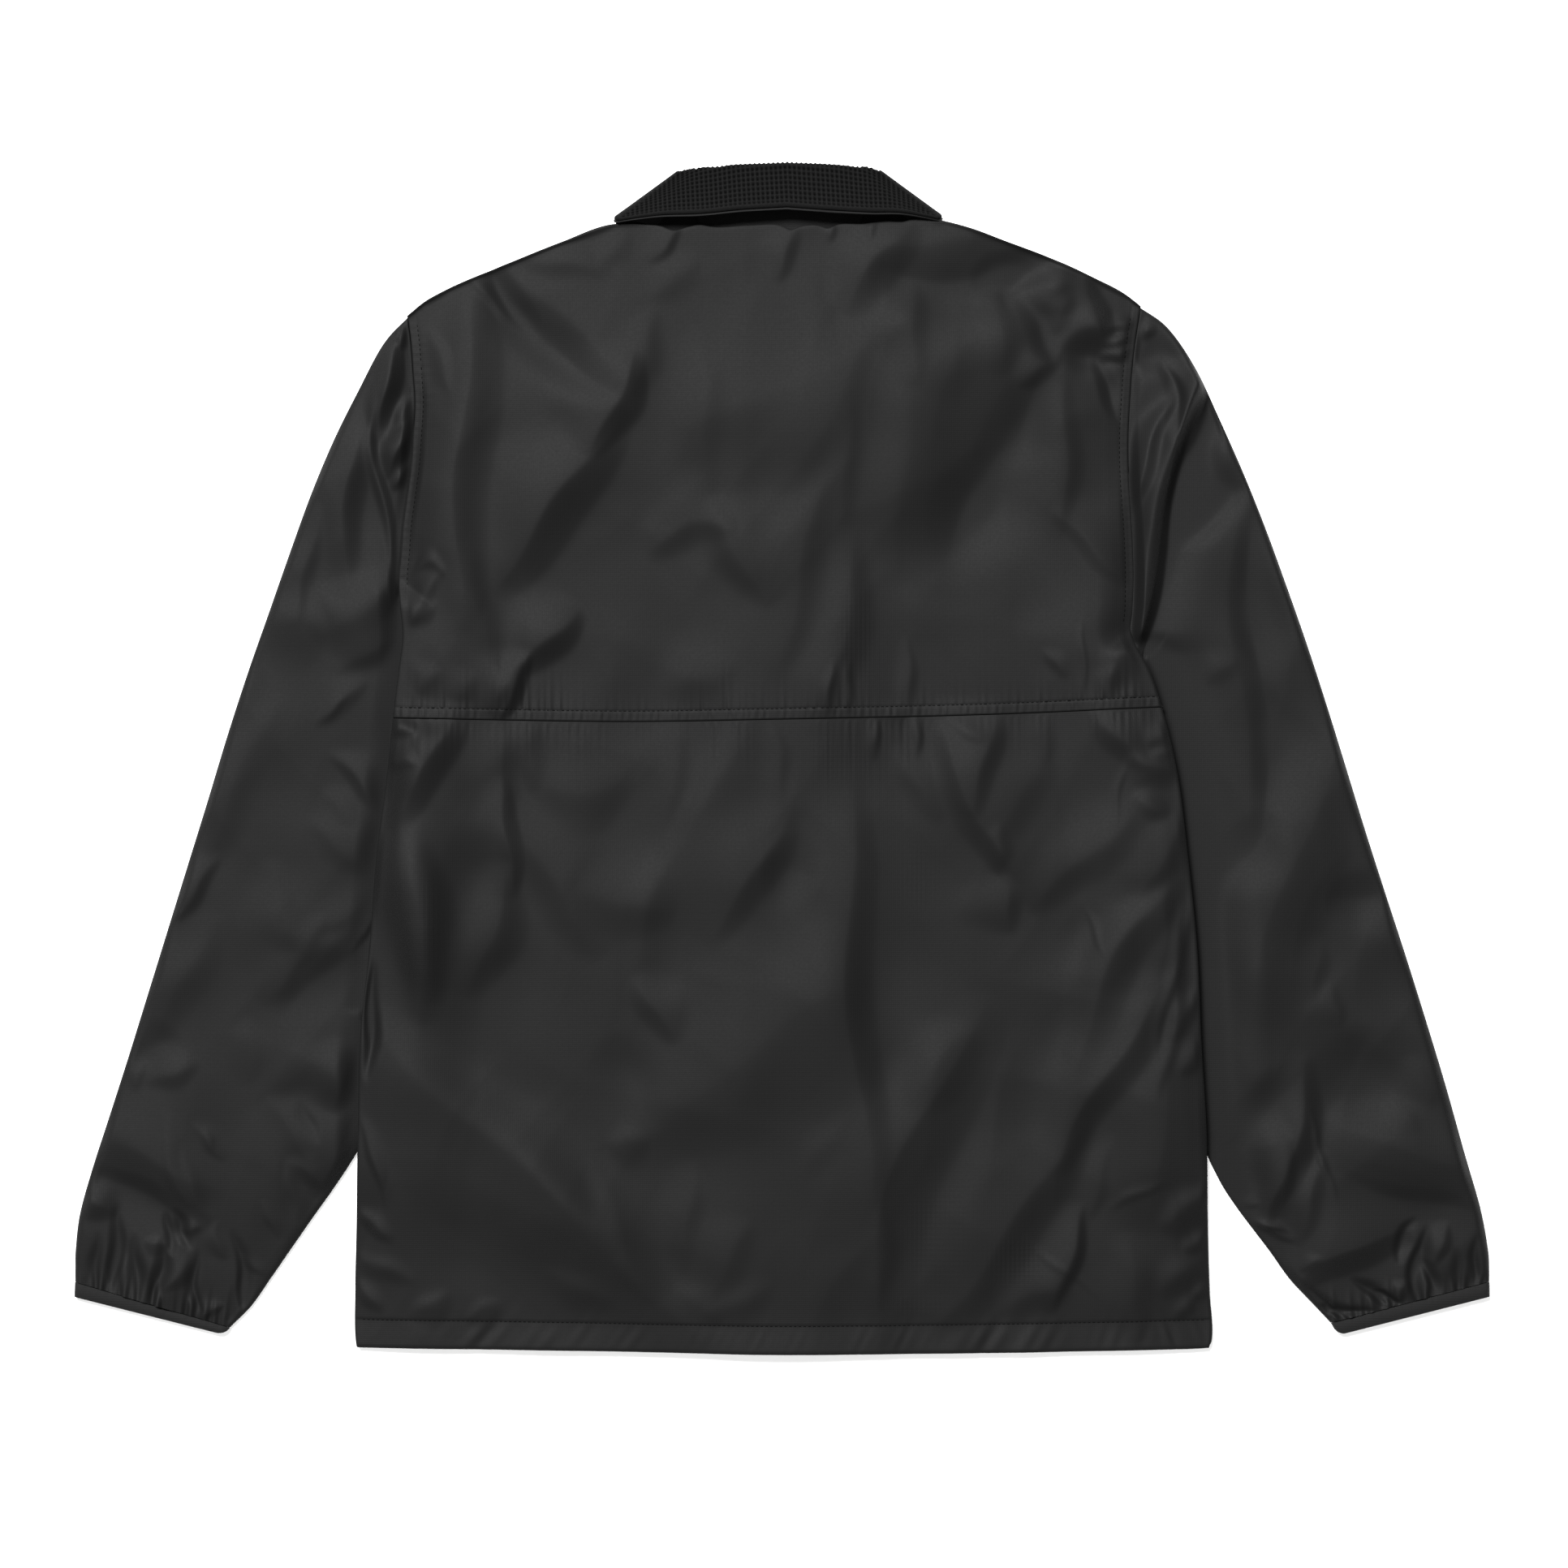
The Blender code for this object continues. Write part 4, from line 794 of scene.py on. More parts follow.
def crumple(x, y):
    """Faint flat facets with crisp folds between them, as thin cloth keeps from being packed."""
    total = np.zeros_like(x)
    for angle, pitch, start in zip(crumple_turn, crumple_pitch, crumple_start):
        over, beside = x * math.cos(angle) + y * math.sin(angle), y * math.cos(angle) - x * math.sin(angle)
        bend = CRUMPLE_BEND * pitch * np.sin(2 * np.pi * beside / (CRUMPLE_BEND_RUN * pitch) + 3 * start)
        fold = np.sqrt(np.sin(np.pi * (over + bend) / pitch + start) ** 2 + CRUMPLE_ROUND)
        patch = (np.sin(2 * np.pi * beside / (CRUMPLE_PATCH * pitch) + 2 * start)
                 + np.sin(over / pitch + start))
        total += pitch * (CRUMPLE_MEAN - fold) * ease(patch, *CRUMPLE_SHOWS)
    return CRUMPLE_SLOPE * total


print("ripples and faint folds all over:", RIPPLE_WAVES, "and", CRUMPLE_FOLDS)

# %% [markdown]
# ## Seams
# A flat-felled seam is a dark groove where two pieces meet and one row of topstitching a few millimetres
# away. The thread draws the cloth in, so the strip between is puckered and small tucks run out of the row.
# The dents are in the cloth's form; the stitches are laid into them later.

# %% Seams in the cloth
GROOVE_WIDTH, GROOVE_DEPTH = 1.0, 0.9
ARMHOLE_GROOVE = 0.45
ROW_FROM_SEAM = 7.2         # topstitching above the yoke seam
ROW_FROM_ARMHOLE = 5.6
ROW_DENT, ROW_WIDTH = 0.24, 0.7
STRIP_SWELL = 0.28
SEAM_DROP, SEAM_DROP_RUN = 0.55, 30.0   # the lower back starts this far below the yoke's edge
SEAM_WAVE, ARMHOLE_WAVE, LOWER_WAVE = (4.6, 0.7), (4.4, 1.9), (4.8, 2.3)    # pitch and start of the puckers
ARMHOLE_Y = (84.0, 120.0)               # the armhole's seam fades in over these heights
YOKE_CALM, LOWER_CALM = (1.0, 9.0), (0.0, 5.0)    # creases fade out over these distances from the side edges
STRIP_SHAPE = 0.7                       # how evenly the strip beside the seam swells
PUCKER_MEAN, PUCKER_SIZE = 0.05, 1.2
TUCK_FADE, TUCK_PITCH = 1.6, 1.1        # how fast a tuck fades, and its pitch against the puckers'
TUCK_UNEVEN, TUCK_UNEVEN_PITCH = 0.5, 3.7
TUCK_COLUMNS = ("start", "end", "height", "reach")
YOKE_TUCKS = ((-258, -190, 0.52, 14), (-205, -120, 0.56, 18), (-135, -60, 0.24, 8), (-82, -12, 0.46, 16),
              (-25, 70, 0.38, 14), (60, 160, 0.28, 10), (140, 200, 0.34, 10), (180, 248, 0.66, 14))
LOWER_TUCKS = ((-258, -185, 0.40, 14), (-200, -105, 0.48, 18), (-115, -55, 0.22, 8), (-66, -10, 0.44, 18),
               (10, 110, 0.48, 28), (90, 150, 0.28, 12), (138, 190, 0.38, 16), (190, 248, 0.62, 20))
ARMHOLE_TUCKS = {-1: ((196, 292, 0.42, 9), (112, 150, 0.22, 12)),
                 1: ((248, 292, 0.50, 14), (96, 200, 0.2, 8))}


def seam_y(x):
    """Y of the yoke seam."""
    table = np.array(YOKE_SEAM)
    return smooth_through(x, table[:, 0], table[:, 1])


def uneven(s, pitch, start):
    """A wave along a seam whose pitch and size wander, between about -1 and 1."""
    turn = 2 * np.pi * s / pitch
    return (np.sin(turn + start) + 0.7 * np.sin(turn * 0.73 + 2.1 * start)
            + 0.5 * np.sin(turn * 1.39 + start ** 2)) / 2


def within(s, row):
    """1 in the middle third of a stretch from the row's start to its end, and less towards both."""
    third = (row["end"] - row["start"]) / 3
    return ease(s, row["start"], row["start"] + third) * (1 - ease(s, row["end"] - third, row["end"]))


def tucks(s, away, table, pitch, start):
    """Small tucks that run out from a row of stitches at right angles."""
    total = np.zeros_like(s)
    for row in table:
        tuck = dict(zip(TUCK_COLUMNS, row))
        reach = tuck["reach"] * (1 + TUCK_UNEVEN * uneven(s, pitch * TUCK_UNEVEN_PITCH, start + 1))
        fade = np.exp(-np.clip(away, 0, None) / reach * TUCK_FADE)
        total += tuck["height"] * within(s, tuck) * uneven(s, pitch, start) * fade
    return total


def sewn(s, away, depth, row, table, pitch, start):
    """Groove, puckered strip, dented row and tucks of a seam; away is the distance from the seam line."""
    groove = -depth * np.clip(1 - away / GROOVE_WIDTH, 0.0, 1.0) ** 2
    strip = np.sin(np.pi * np.clip(away / row, 0.0, 1.0)) ** STRIP_SHAPE
    pucker = STRIP_SWELL * strip * (PUCKER_MEAN + PUCKER_SIZE * uneven(s, pitch, start))
    dent = -ROW_DENT * np.exp(-((away - row) / ROW_WIDTH) ** 2)
    out = np.where(away > row, 1.0, 0.0) * tucks(s, away - row, table, pitch * TUCK_PITCH, start)
    return groove + pucker + dent + out


print("stretches of tucks along the yoke seam:", len(YOKE_TUCKS) + len(LOWER_TUCKS))

# %% Height of the yoke
MEET_RUN = 14.0             # creases of the two panels even out towards the seam over this distance
MEET_ENDS = (-262.0, 262.0)
meet_x = np.arange(*MEET_ENDS)
meet_step = (crease_height(meet_x, seam_y(meet_x), LOWER_CREASES)
             - crease_height(meet_x, seam_y(meet_x), YOKE_CREASES)) / 2


def meet(x, away):
    """How far each panel gives way so that both are at one height where they are sewn together."""
    return np.interp(x, meet_x, meet_step) * (1 - ease(away, 0.0, MEET_RUN))


def yoke_height(x, y):
    """Outer face of the yoke, with its creases and its sewn edges."""
    form, from_edge = back_form(x, y)
    armhole = ease(y, *ARMHOLE_Y)
    form = form - shoulder_fall(x, y)
    creases = crease_height(x, y, YOKE_CREASES) + meet(x, y - seam_y(x)) + ripple(x, y)
    height = above_fronts(x, y, form + ease(from_edge, *YOKE_CALM) * creases)
    height += sewn(x, y - seam_y(x), GROOVE_DEPTH, ROW_FROM_SEAM, YOKE_TUCKS, *SEAM_WAVE)
    pitch, start = ARMHOLE_WAVE
    for side in (-1, 1):
        away = side * (side_x(y, side) - x)
        height += armhole * sewn(y, away, ARMHOLE_GROOVE, ROW_FROM_ARMHOLE, ARMHOLE_TUCKS[side],
                                 pitch, start + side)
    return height - (1 - armhole) * edge_roll(from_edge)


print("largest step evened out at the yoke seam:", round(float(2 * np.abs(meet_step).max()), 1), "mm")

# %% [markdown]
# ## Cloth pieces
# A cloth piece is a fine grid of points for the face that shows and a coarser one for the face underneath,
# laced together round the edge. That gives a closed thin wall without spending half of the triangles where
# nobody looks.

# %% Cloth maker
SHARP_FROM = math.radians(70)


def make_piece(name, points, faces, material):
    """A smooth piece from points in millimetres and faces, riding on the part's one body."""
    mesh = bpy.data.meshes.new(name)
    mesh.from_pydata((np.asarray(points) * MM).tolist(), [], faces)
    work = bmesh.new()
    work.from_mesh(mesh)
    bmesh.ops.recalc_face_normals(work, faces=work.faces)
    work.to_mesh(mesh)
    work.free()
    mesh.polygons.foreach_set("use_smooth", [True] * len(mesh.polygons))
    mesh.set_sharp_from_angle(angle=SHARP_FROM)
    mesh.materials.append(material)
    piece = bpy.data.objects.new(name, mesh)
    scene.collection.objects.link(piece)
    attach(piece, "root")
    return piece


def grid_faces(numbers):
    """Four-cornered faces of a grid of point numbers."""
    return np.stack([numbers[:-1, :-1], numbers[1:, :-1], numbers[1:, 1:], numbers[:-1, 1:]],
                    axis=-1).reshape(-1, 4)


def lace(first, second):
    """Triangles between two lines of point numbers that may differ in count."""
    faces, a, b = [], 0, 0
    while a < len(first) - 1 or b < len(second) - 1:
        next_a, next_b = (a + 1) / (len(first) - 1), (b + 1) / (len(second) - 1)
        if b == len(second) - 1 or (a < len(first) - 1 and next_a <= next_b):
            faces.append((int(first[a]), int(first[a + 1]), int(second[b])))
            a += 1
        else:
            faces.append((int(first[a]), int(second[b + 1]), int(second[b])))
            b += 1
    return faces


print("edges stay sharp from", round(math.degrees(SHARP_FROM)), "degrees on")


# %% Closed cloths and tubes
def every(count, stride):
    """Every so many numbers below count, with the last one always among them."""
    picked = list(range(0, count, stride))
    return np.array(picked if picked[-1] == count - 1 else picked + [count - 1])


def lowest_near(height, reach):
    """Lowest height within so many grid steps, so that a coarse face never cuts through the fine one."""
    low = height.copy()
    for axis in (0, 1):
        padded = np.pad(low, [(reach, reach) if k == axis else (0, 0) for k in (0, 1)], mode="edge")
        size = low.shape[axis]
        low = np.min([np.take(padded, np.arange(k, k + size), axis=axis)
                      for k in range(2 * reach + 1)], axis=0)
    return low


def border(numbers):
    """The four sides of a grid of point numbers, each from one corner to the next."""
    return numbers[0], numbers[:, -1], numbers[-1, ::-1], numbers[::-1, 0]


def cloth_piece(name, face, back, stride, material):
    """A closed thin wall from a fine grid and the grid behind it, of which every so many points are used."""
    rows, columns = face.shape[:2]
    pick = np.ix_(every(rows, stride), every(columns, stride))
    behind = back[pick]
    numbers = np.arange(rows * columns).reshape(rows, columns)
    behind_numbers = rows * columns + np.arange(behind.shape[0] * behind.shape[1]).reshape(behind.shape[:2])
    faces = grid_faces(numbers).tolist() + grid_faces(behind_numbers)[:, ::-1].tolist()
    for first, second in zip(border(numbers), border(behind_numbers)):
        faces += lace(first, second)
    return make_piece(name, np.vstack([face.reshape(-1, 3), behind.reshape(-1, 3)]), faces, material)


def tube_piece(name, outer, inner, material):
    """A closed tube from rings of points outside and inside, laced together at both ends."""
    numbers = np.arange(outer.shape[0] * outer.shape[1]).reshape(outer.shape[:2])
    inner_numbers = numbers.size + np.arange(inner.shape[0] * inner.shape[1]).reshape(inner.shape[:2])
    numbers, inner_numbers = (np.concatenate([n, n[:, :1]], axis=1) for n in (numbers, inner_numbers))
    faces = grid_faces(numbers).tolist() + grid_faces(inner_numbers)[:, ::-1].tolist()
    for end in (0, -1):
        faces += lace(numbers[end], inner_numbers[end])
    return make_piece(name, np.vstack([outer.reshape(-1, 3), inner.reshape(-1, 3)]), faces, material)


def laid_piece(name, x, y, z, stride, material):
    """A cloth piece that lies flat: its back face is straight below its upper face."""
    back = np.stack([x, y, lowest_near(z, stride) - CLOTH], axis=-1)
    back[0, :, 2], back[-1, :, 2], back[:, 0, 2], back[:, -1, 2] = (z[e] - CLOTH for e in (
        np.s_[0, :], np.s_[-1, :], np.s_[:, 0], np.s_[:, -1]))
    return cloth_piece(name, np.stack([x, y, z], axis=-1), back, stride, material)


print("cloth as drawn at its edges:", CLOTH, "mm")

# %% Prints of the grid, and areas
PRINT_COLUMNS = ("x", "y", "half_wide", "half_tall", "strength")
GRID_PRINTS = (
    (48.0, 75.0, 14.0, 36.0, 0.7),
    (38.0, 2.0, 20.0, 18.0, 0.6),
    (88.0, -78.0, 12.0, 22.0, 0.4),
    (232.0, -68.0, 10.0, 14.0, 0.4),
    (-230.0, -110.0, 9.0, 32.0, 0.6),
    (104.0, -316.0, 24.0, 34.0, 0.8),
    (150.0, -328.0, 22.0, 16.0, 1.0),
    (92.0, -358.0, 20.0, 8.0, 0.7),
)


def press_grid(piece, x, y):
    """Keep with each point of the cloth how strongly the fleece's grid prints through there."""
    shown = np.zeros_like(x)
    for row in GRID_PRINTS:
        patch = dict(zip(PRINT_COLUMNS, row))
        shown = np.maximum(shown, patch["strength"] * np.exp(-from_middle(x, y, patch) ** 2))
    values = np.zeros(len(piece.data.vertices))
    values[:shown.size] = shown.ravel()
    piece.data.attributes.new("grid_print", "FLOAT", "POINT").data.foreach_set("value", values)


def sheet_area(points):
    """Area of a grid of points, in square metres."""
    a, b = points[1:, 1:] - points[:-1, :-1], points[1:, :-1] - points[:-1, 1:]
    return float(np.linalg.norm(np.cross(a, b), axis=-1).sum() / 2) * MM * MM


print("patches where the grid prints through:", len(GRID_PRINTS))

# %% [markdown]
# ## Yoke
# The yoke is the upper back, cut in one piece from shoulder to shoulder. Points lie closer together at its
# edges and at the row of stitches, where the form changes within a millimetre, and wider apart where it
# only swells.

# %% Yoke
EDGE_STEPS = (0.4, 1.0, 1.8, 2.8)
SEAM_STEPS = (0.5, 1.1, 1.8, 2.6, 3.5, 4.5, 5.5, 6.2, 6.8, 7.3, 7.9, 8.6, 9.6)
YOKE_SIZE, YOKE_STEP = (480.0, 300.0), (1.0, 2.2)
BACK_STRIDE = 4             # the face underneath has every fourth point
FOLD_ROLL = 0.4             # the shoulder's fold is flatter than a turned edge

across = steps(YOKE_SIZE[0], YOKE_STEP[0], EDGE_STEPS, EDGE_STEPS)
down = steps(YOKE_SIZE[1], YOKE_STEP[1], EDGE_STEPS, SEAM_STEPS)
top = along(SHOULDER_LEFT[:-1] + BACK_NECK + SHOULDER_RIGHT[1:], across)
bottom = along(YOKE_SEAM, across) + (0.0, SEAM_GAP)
plan = span_sheet(top, bottom, side_line(top[0], bottom[0], -1, down),
                  side_line(top[-1], bottom[-1], 1, down), across, down)
x, y = plan[..., 0], plan[..., 1]
from_top = np.linalg.norm(plan - plan[:1], axis=-1)
z = yoke_height(x, y) - FOLD_ROLL * edge_roll(from_top)
yoke = laid_piece("yoke_cloth", x, y, z, BACK_STRIDE, nylon)
press_grid(yoke, x, y)
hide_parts("back_yoke")

# %% [markdown]
# ## Lower back and hem
# The lower back hangs from the yoke seam to a turned hem. The hem is two cloths thick, sewn down 19 mm
# above its edge, and the row of stitches pulls it into short slanting puckers.

# %% Lower back
HEM_STITCH = 0.955          # share of the panel above the hem's stitching
HEM_STEP, HEM_DENT, HEM_DENT_RUN = 0.02, 0.35, (0.8, 8.0)    # the row sinks steeply above, gently in the hem
HEM_FLARE = 1.3             # the stiff double hem stands up a little towards its edge
HEM_COLUMNS = ("start", "end", "height", "pitch", "slant")
HEM_PUCKERS = ((-284, -232, 0.06, 13, 0.8), (-236, -136, 0.56, 17, 0.75), (-150, -76, 0.22, 13, 0.7),
               (-84, 44, 0.10, 9, 0.5), (30, 110, 0.16, 9, 0.5), (96, 196, 0.52, 15, 0.55),
               (186, 252, 0.24, 12, 0.3), (238, 282, 0.44, 10, -0.4))
HEM_CALM, HEM_CALM_FROM = 0.5, 0.55         # puckers are weaker from this share of the hem's depth on
ABOVE_HEM, ABOVE_HEM_RUN = 0.45, 7.0        # and run on above the row this strongly and this far
LOWER_TUCK_RUN = 4.0                        # the yoke seam's tucks start over this distance
LOWER_SIZE, LOWER_STEP = (530.0, 412.0), (1.25, 2.3)
LOWER_TOP_STEPS = (0.4, 0.9, 1.5, 2.2, 3.2)
HEM_STEPS = (0.4, 1.0, 1.8, 3.0, 4.5, 6.0, 7.5, 9.0, 10.5, 12.0,
             13.5, 15.0, 16.2, 17.2, 18.0, 18.7, 19.4, 20.2, 21.2)
HEM_CORNER, HEM_CORNER_RUN = 6.0, 16.0      # the hem's right corner is rounded


def lower_height(x, y, share):
    """Outer face of the lower back, with its creases and hem; share is how far down it a place is."""
    form, from_edge = back_form(x, y)
    away = seam_y(x) - y
    creases = crease_height(x, y, LOWER_CREASES) - meet(x, away) + ripple(x, y)
    height = above_fronts(x, y, form + ease(from_edge, *LOWER_CALM) * creases)
    height += -SEAM_DROP * np.exp(-np.clip(away, 0.0, None) / SEAM_DROP_RUN)
    height += tucks(x, away, LOWER_TUCKS, *LOWER_WAVE) * ease(away, 0.0, LOWER_TUCK_RUN)
    below = (share - HEM_STITCH) * LOWER_SIZE[1]
    turned = ease(share, HEM_STITCH, HEM_STITCH + HEM_STEP)
    height -= HEM_DENT * np.exp(-(below / np.where(below < 0, *HEM_DENT_RUN)) ** 2)
    hem_depth = (1 - HEM_STITCH) * LOWER_SIZE[1]
    height += HEM_FLARE * np.clip(below / hem_depth, 0.0, 1.0)
    for row in HEM_PUCKERS:
        pucker = dict(zip(HEM_COLUMNS, row))
        wave = uneven(x + pucker["slant"] * below, pucker["pitch"], pucker["pitch"])
        in_hem = turned * (1 - HEM_CALM * ease(below, HEM_CALM_FROM * hem_depth, hem_depth))
        above = ABOVE_HEM * (1 - turned) * np.exp(np.clip(below, None, 0.0) / ABOVE_HEM_RUN)
        height += pucker["height"] * within(x, pucker) * wave * (in_hem + above)
    return height - edge_roll(from_edge) - edge_roll(np.abs(1 - share) * LOWER_SIZE[1])


across = steps(LOWER_SIZE[0], LOWER_STEP[0], EDGE_STEPS, EDGE_STEPS)
down = steps(LOWER_SIZE[1], LOWER_STEP[1], LOWER_TOP_STEPS, HEM_STEPS)
top = along(YOKE_SEAM, across)
bottom = along(HEM, across)
plan = span_sheet(top, bottom, side_line(top[0], bottom[0], -1, down),
                  side_line(top[-1], bottom[-1], 1, down), across, down)
to_hem = np.clip(HEM_CORNER - np.linalg.norm(plan - plan[-1:], axis=-1), 0.0, None)
pull = HEM_CORNER - np.sqrt(HEM_CORNER ** 2 - to_hem ** 2)
plan[..., 0] -= pull * ease(plan[..., 0], plan[-1, -1, 0] - HEM_CORNER_RUN, plan[-1, -1, 0])
x, y = plan[..., 0], plan[..., 1]
z = lower_height(x, y, np.repeat(down[:, None], len(across), axis=1))
lower = laid_piece("lower_back_cloth", x, y, z, BACK_STRIDE, nylon)
press_grid(lower, x, y)
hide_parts("back_lower")

# %% [markdown]
# ## Fronts
# The two fronts lie face down on the table. Worn, the left one closes over the right one, so here the right
# one's edge lies on the left one's. Only their outer edges can be seen, so they are finished plainly: the
# same cloth, flat where it rests.

# %% Fronts
FRONT_NECK_LEFT = ((-111.0, 348.2), (-109.7, 348.7), (-109.4, 347.9), (-95.5, 327.5), (-69.5, 296.6),
                   (-39.5, 280.4), (-10.0, 275.0), (14.0, 274.0))
FRONT_NECK_RIGHT = ((-14.0, 274.0), (8.0, 275.0), (37.5, 280.4), (67.5, 296.6),
                    (93.5, 328.5), (106.1, 349.5), (106.5, 350.2), (107.5, 349.9))
FRONT_INSET = (0.0, -0.8)   # the fronts stay just inside the shoulder line
FRONT_SIZE, FRONT_STEP = (290.0, 680.0), 5.0
FRONT_WALL = 2.0

front_pieces, front_areas = {}, {}
for side, word in ((-1, "left"), (1, "right")):
    across, down = (steps(size, FRONT_STEP) for size in FRONT_SIZE)
    middle = -side * OVERLAP_HALF
    hem_middle = (middle, HEM[2][1])
    if side < 0:
        top = along(SHOULDER_LEFT[:-1] + FRONT_NECK_LEFT, across) + FRONT_INSET
        bottom = along((HEM[0], hem_middle), across)
        outer_top, outer_bottom, inner_top = top[0], bottom[0], top[-1]
    else:
        top = along(FRONT_NECK_RIGHT + SHOULDER_RIGHT[1:], across) + FRONT_INSET
        bottom = along((hem_middle, HEM[-1]), across)
        outer_top, outer_bottom, inner_top = top[-1], bottom[-1], top[0]
    outer = side_line(outer_top, outer_bottom, side, down)
    straight = np.stack([np.full_like(down, middle),
                         inner_top[1] + (HEM[2][1] - inner_top[1]) * down], axis=-1)
    plan = span_sheet(top, bottom, *((outer, straight) if side < 0 else (straight, outer)), across, down)
    x, y = plan[..., 0], plan[..., 1]
    z = front_inside(x, y, side)
    face, back = np.stack([x, y, z], axis=-1), np.stack([x, y, z - FRONT_WALL], axis=-1)
    piece = cloth_piece(f"front_cloth_{word}", face, back, 1, nylon)
    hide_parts(f"front_{word}")
    front_pieces[word], front_areas[word] = piece, sheet_area(face)
    print(piece.name, round(front_areas[word], 4), "square metres")

# %% [markdown]
# ## Sleeves
# A sleeve is a flattened tube from the armhole to the cuff. Its sections lie across it: each row of the
# table is where one meets the outer and the inner edge. The upper side carries the creases, deepest beside
# the armhole, where the sleeve head is eased in, and above the cuff, where the elastic draws the cloth
# together.

# %% Sleeve tables
SLEEVE_COLUMNS = ("outer_x", "outer_y", "inner_x", "inner_y")
SLEEVES = {
    -1: (
        (-243.9, 289.4, -251.0, 117.0),
        (-260.5, 271.5, -252.4, 104.0),
        (-277.0, 241.0, -252.2, 88.0),
        (-293.0, 209.0, -250.4, 66.0),
        (-308.0, 173.5, -247.0, 36.0),
        (-322.0, 135.0, -245.0, 2.0),
        (-336.0, 95.0, -244.5, -36.0),
        (-349.5, 56.5, -245.5, -76.0),
        (-363.0, 15.0, -248.0, -116.0),
        (-376.0, -28.0, -251.5, -154.0),
        (-389.0, -70.0, -256.0, -190.0),
        (-402.0, -112.0, -262.5, -222.0),
        (-415.0, -154.0, -271.5, -246.0),
        (-428.0, -196.0, -282.5, -265.0),
        (-440.5, -235.0, -294.5, -283.0),
        (-451.5, -269.0, -307.0, -300.5),
        (-459.5, -298.0, -319.5, -318.5),
        (-462.3, -321.0, -334.0, -339.5),
        (-462.6, -334.0, -347.0, -358.0),
        (-462.6, -342.4, -361.0, -372.2),
    ),
    1: (
        (233.0, 295.4, 229.0, 79.8),
        (252.0, 281.5, 236.6, 70.0),
        (270.0, 255.5, 241.6, 56.0),
        (286.5, 220.5, 243.0, 36.0),
        (302.0, 185.5, 243.0, 8.0),
        (316.0, 150.5, 244.0, -24.0),
        (329.5, 113.5, 246.0, -60.0),
        (343.0, 75.0, 249.0, -98.0),
        (356.0, 35.0, 252.0, -136.0),
        (369.0, -7.0, 255.0, -171.0),
        (382.0, -49.5, 260.0, -205.0),
        (395.0, -90.0, 267.5, -234.0),
        (408.0, -130.0, 277.0, -258.0),
        (421.0, -171.5, 287.0, -278.5),
        (434.0, -214.5, 297.5, -294.5),
        (446.0, -257.5, 308.0, -308.5),
        (456.5, -294.0, 319.0, -323.0),
        (461.5, -321.0, 331.5, -340.5),
        (462.3, -334.5, 346.0, -356.0),
        (462.3, -342.2, 358.5, -369.2),
    ),
}
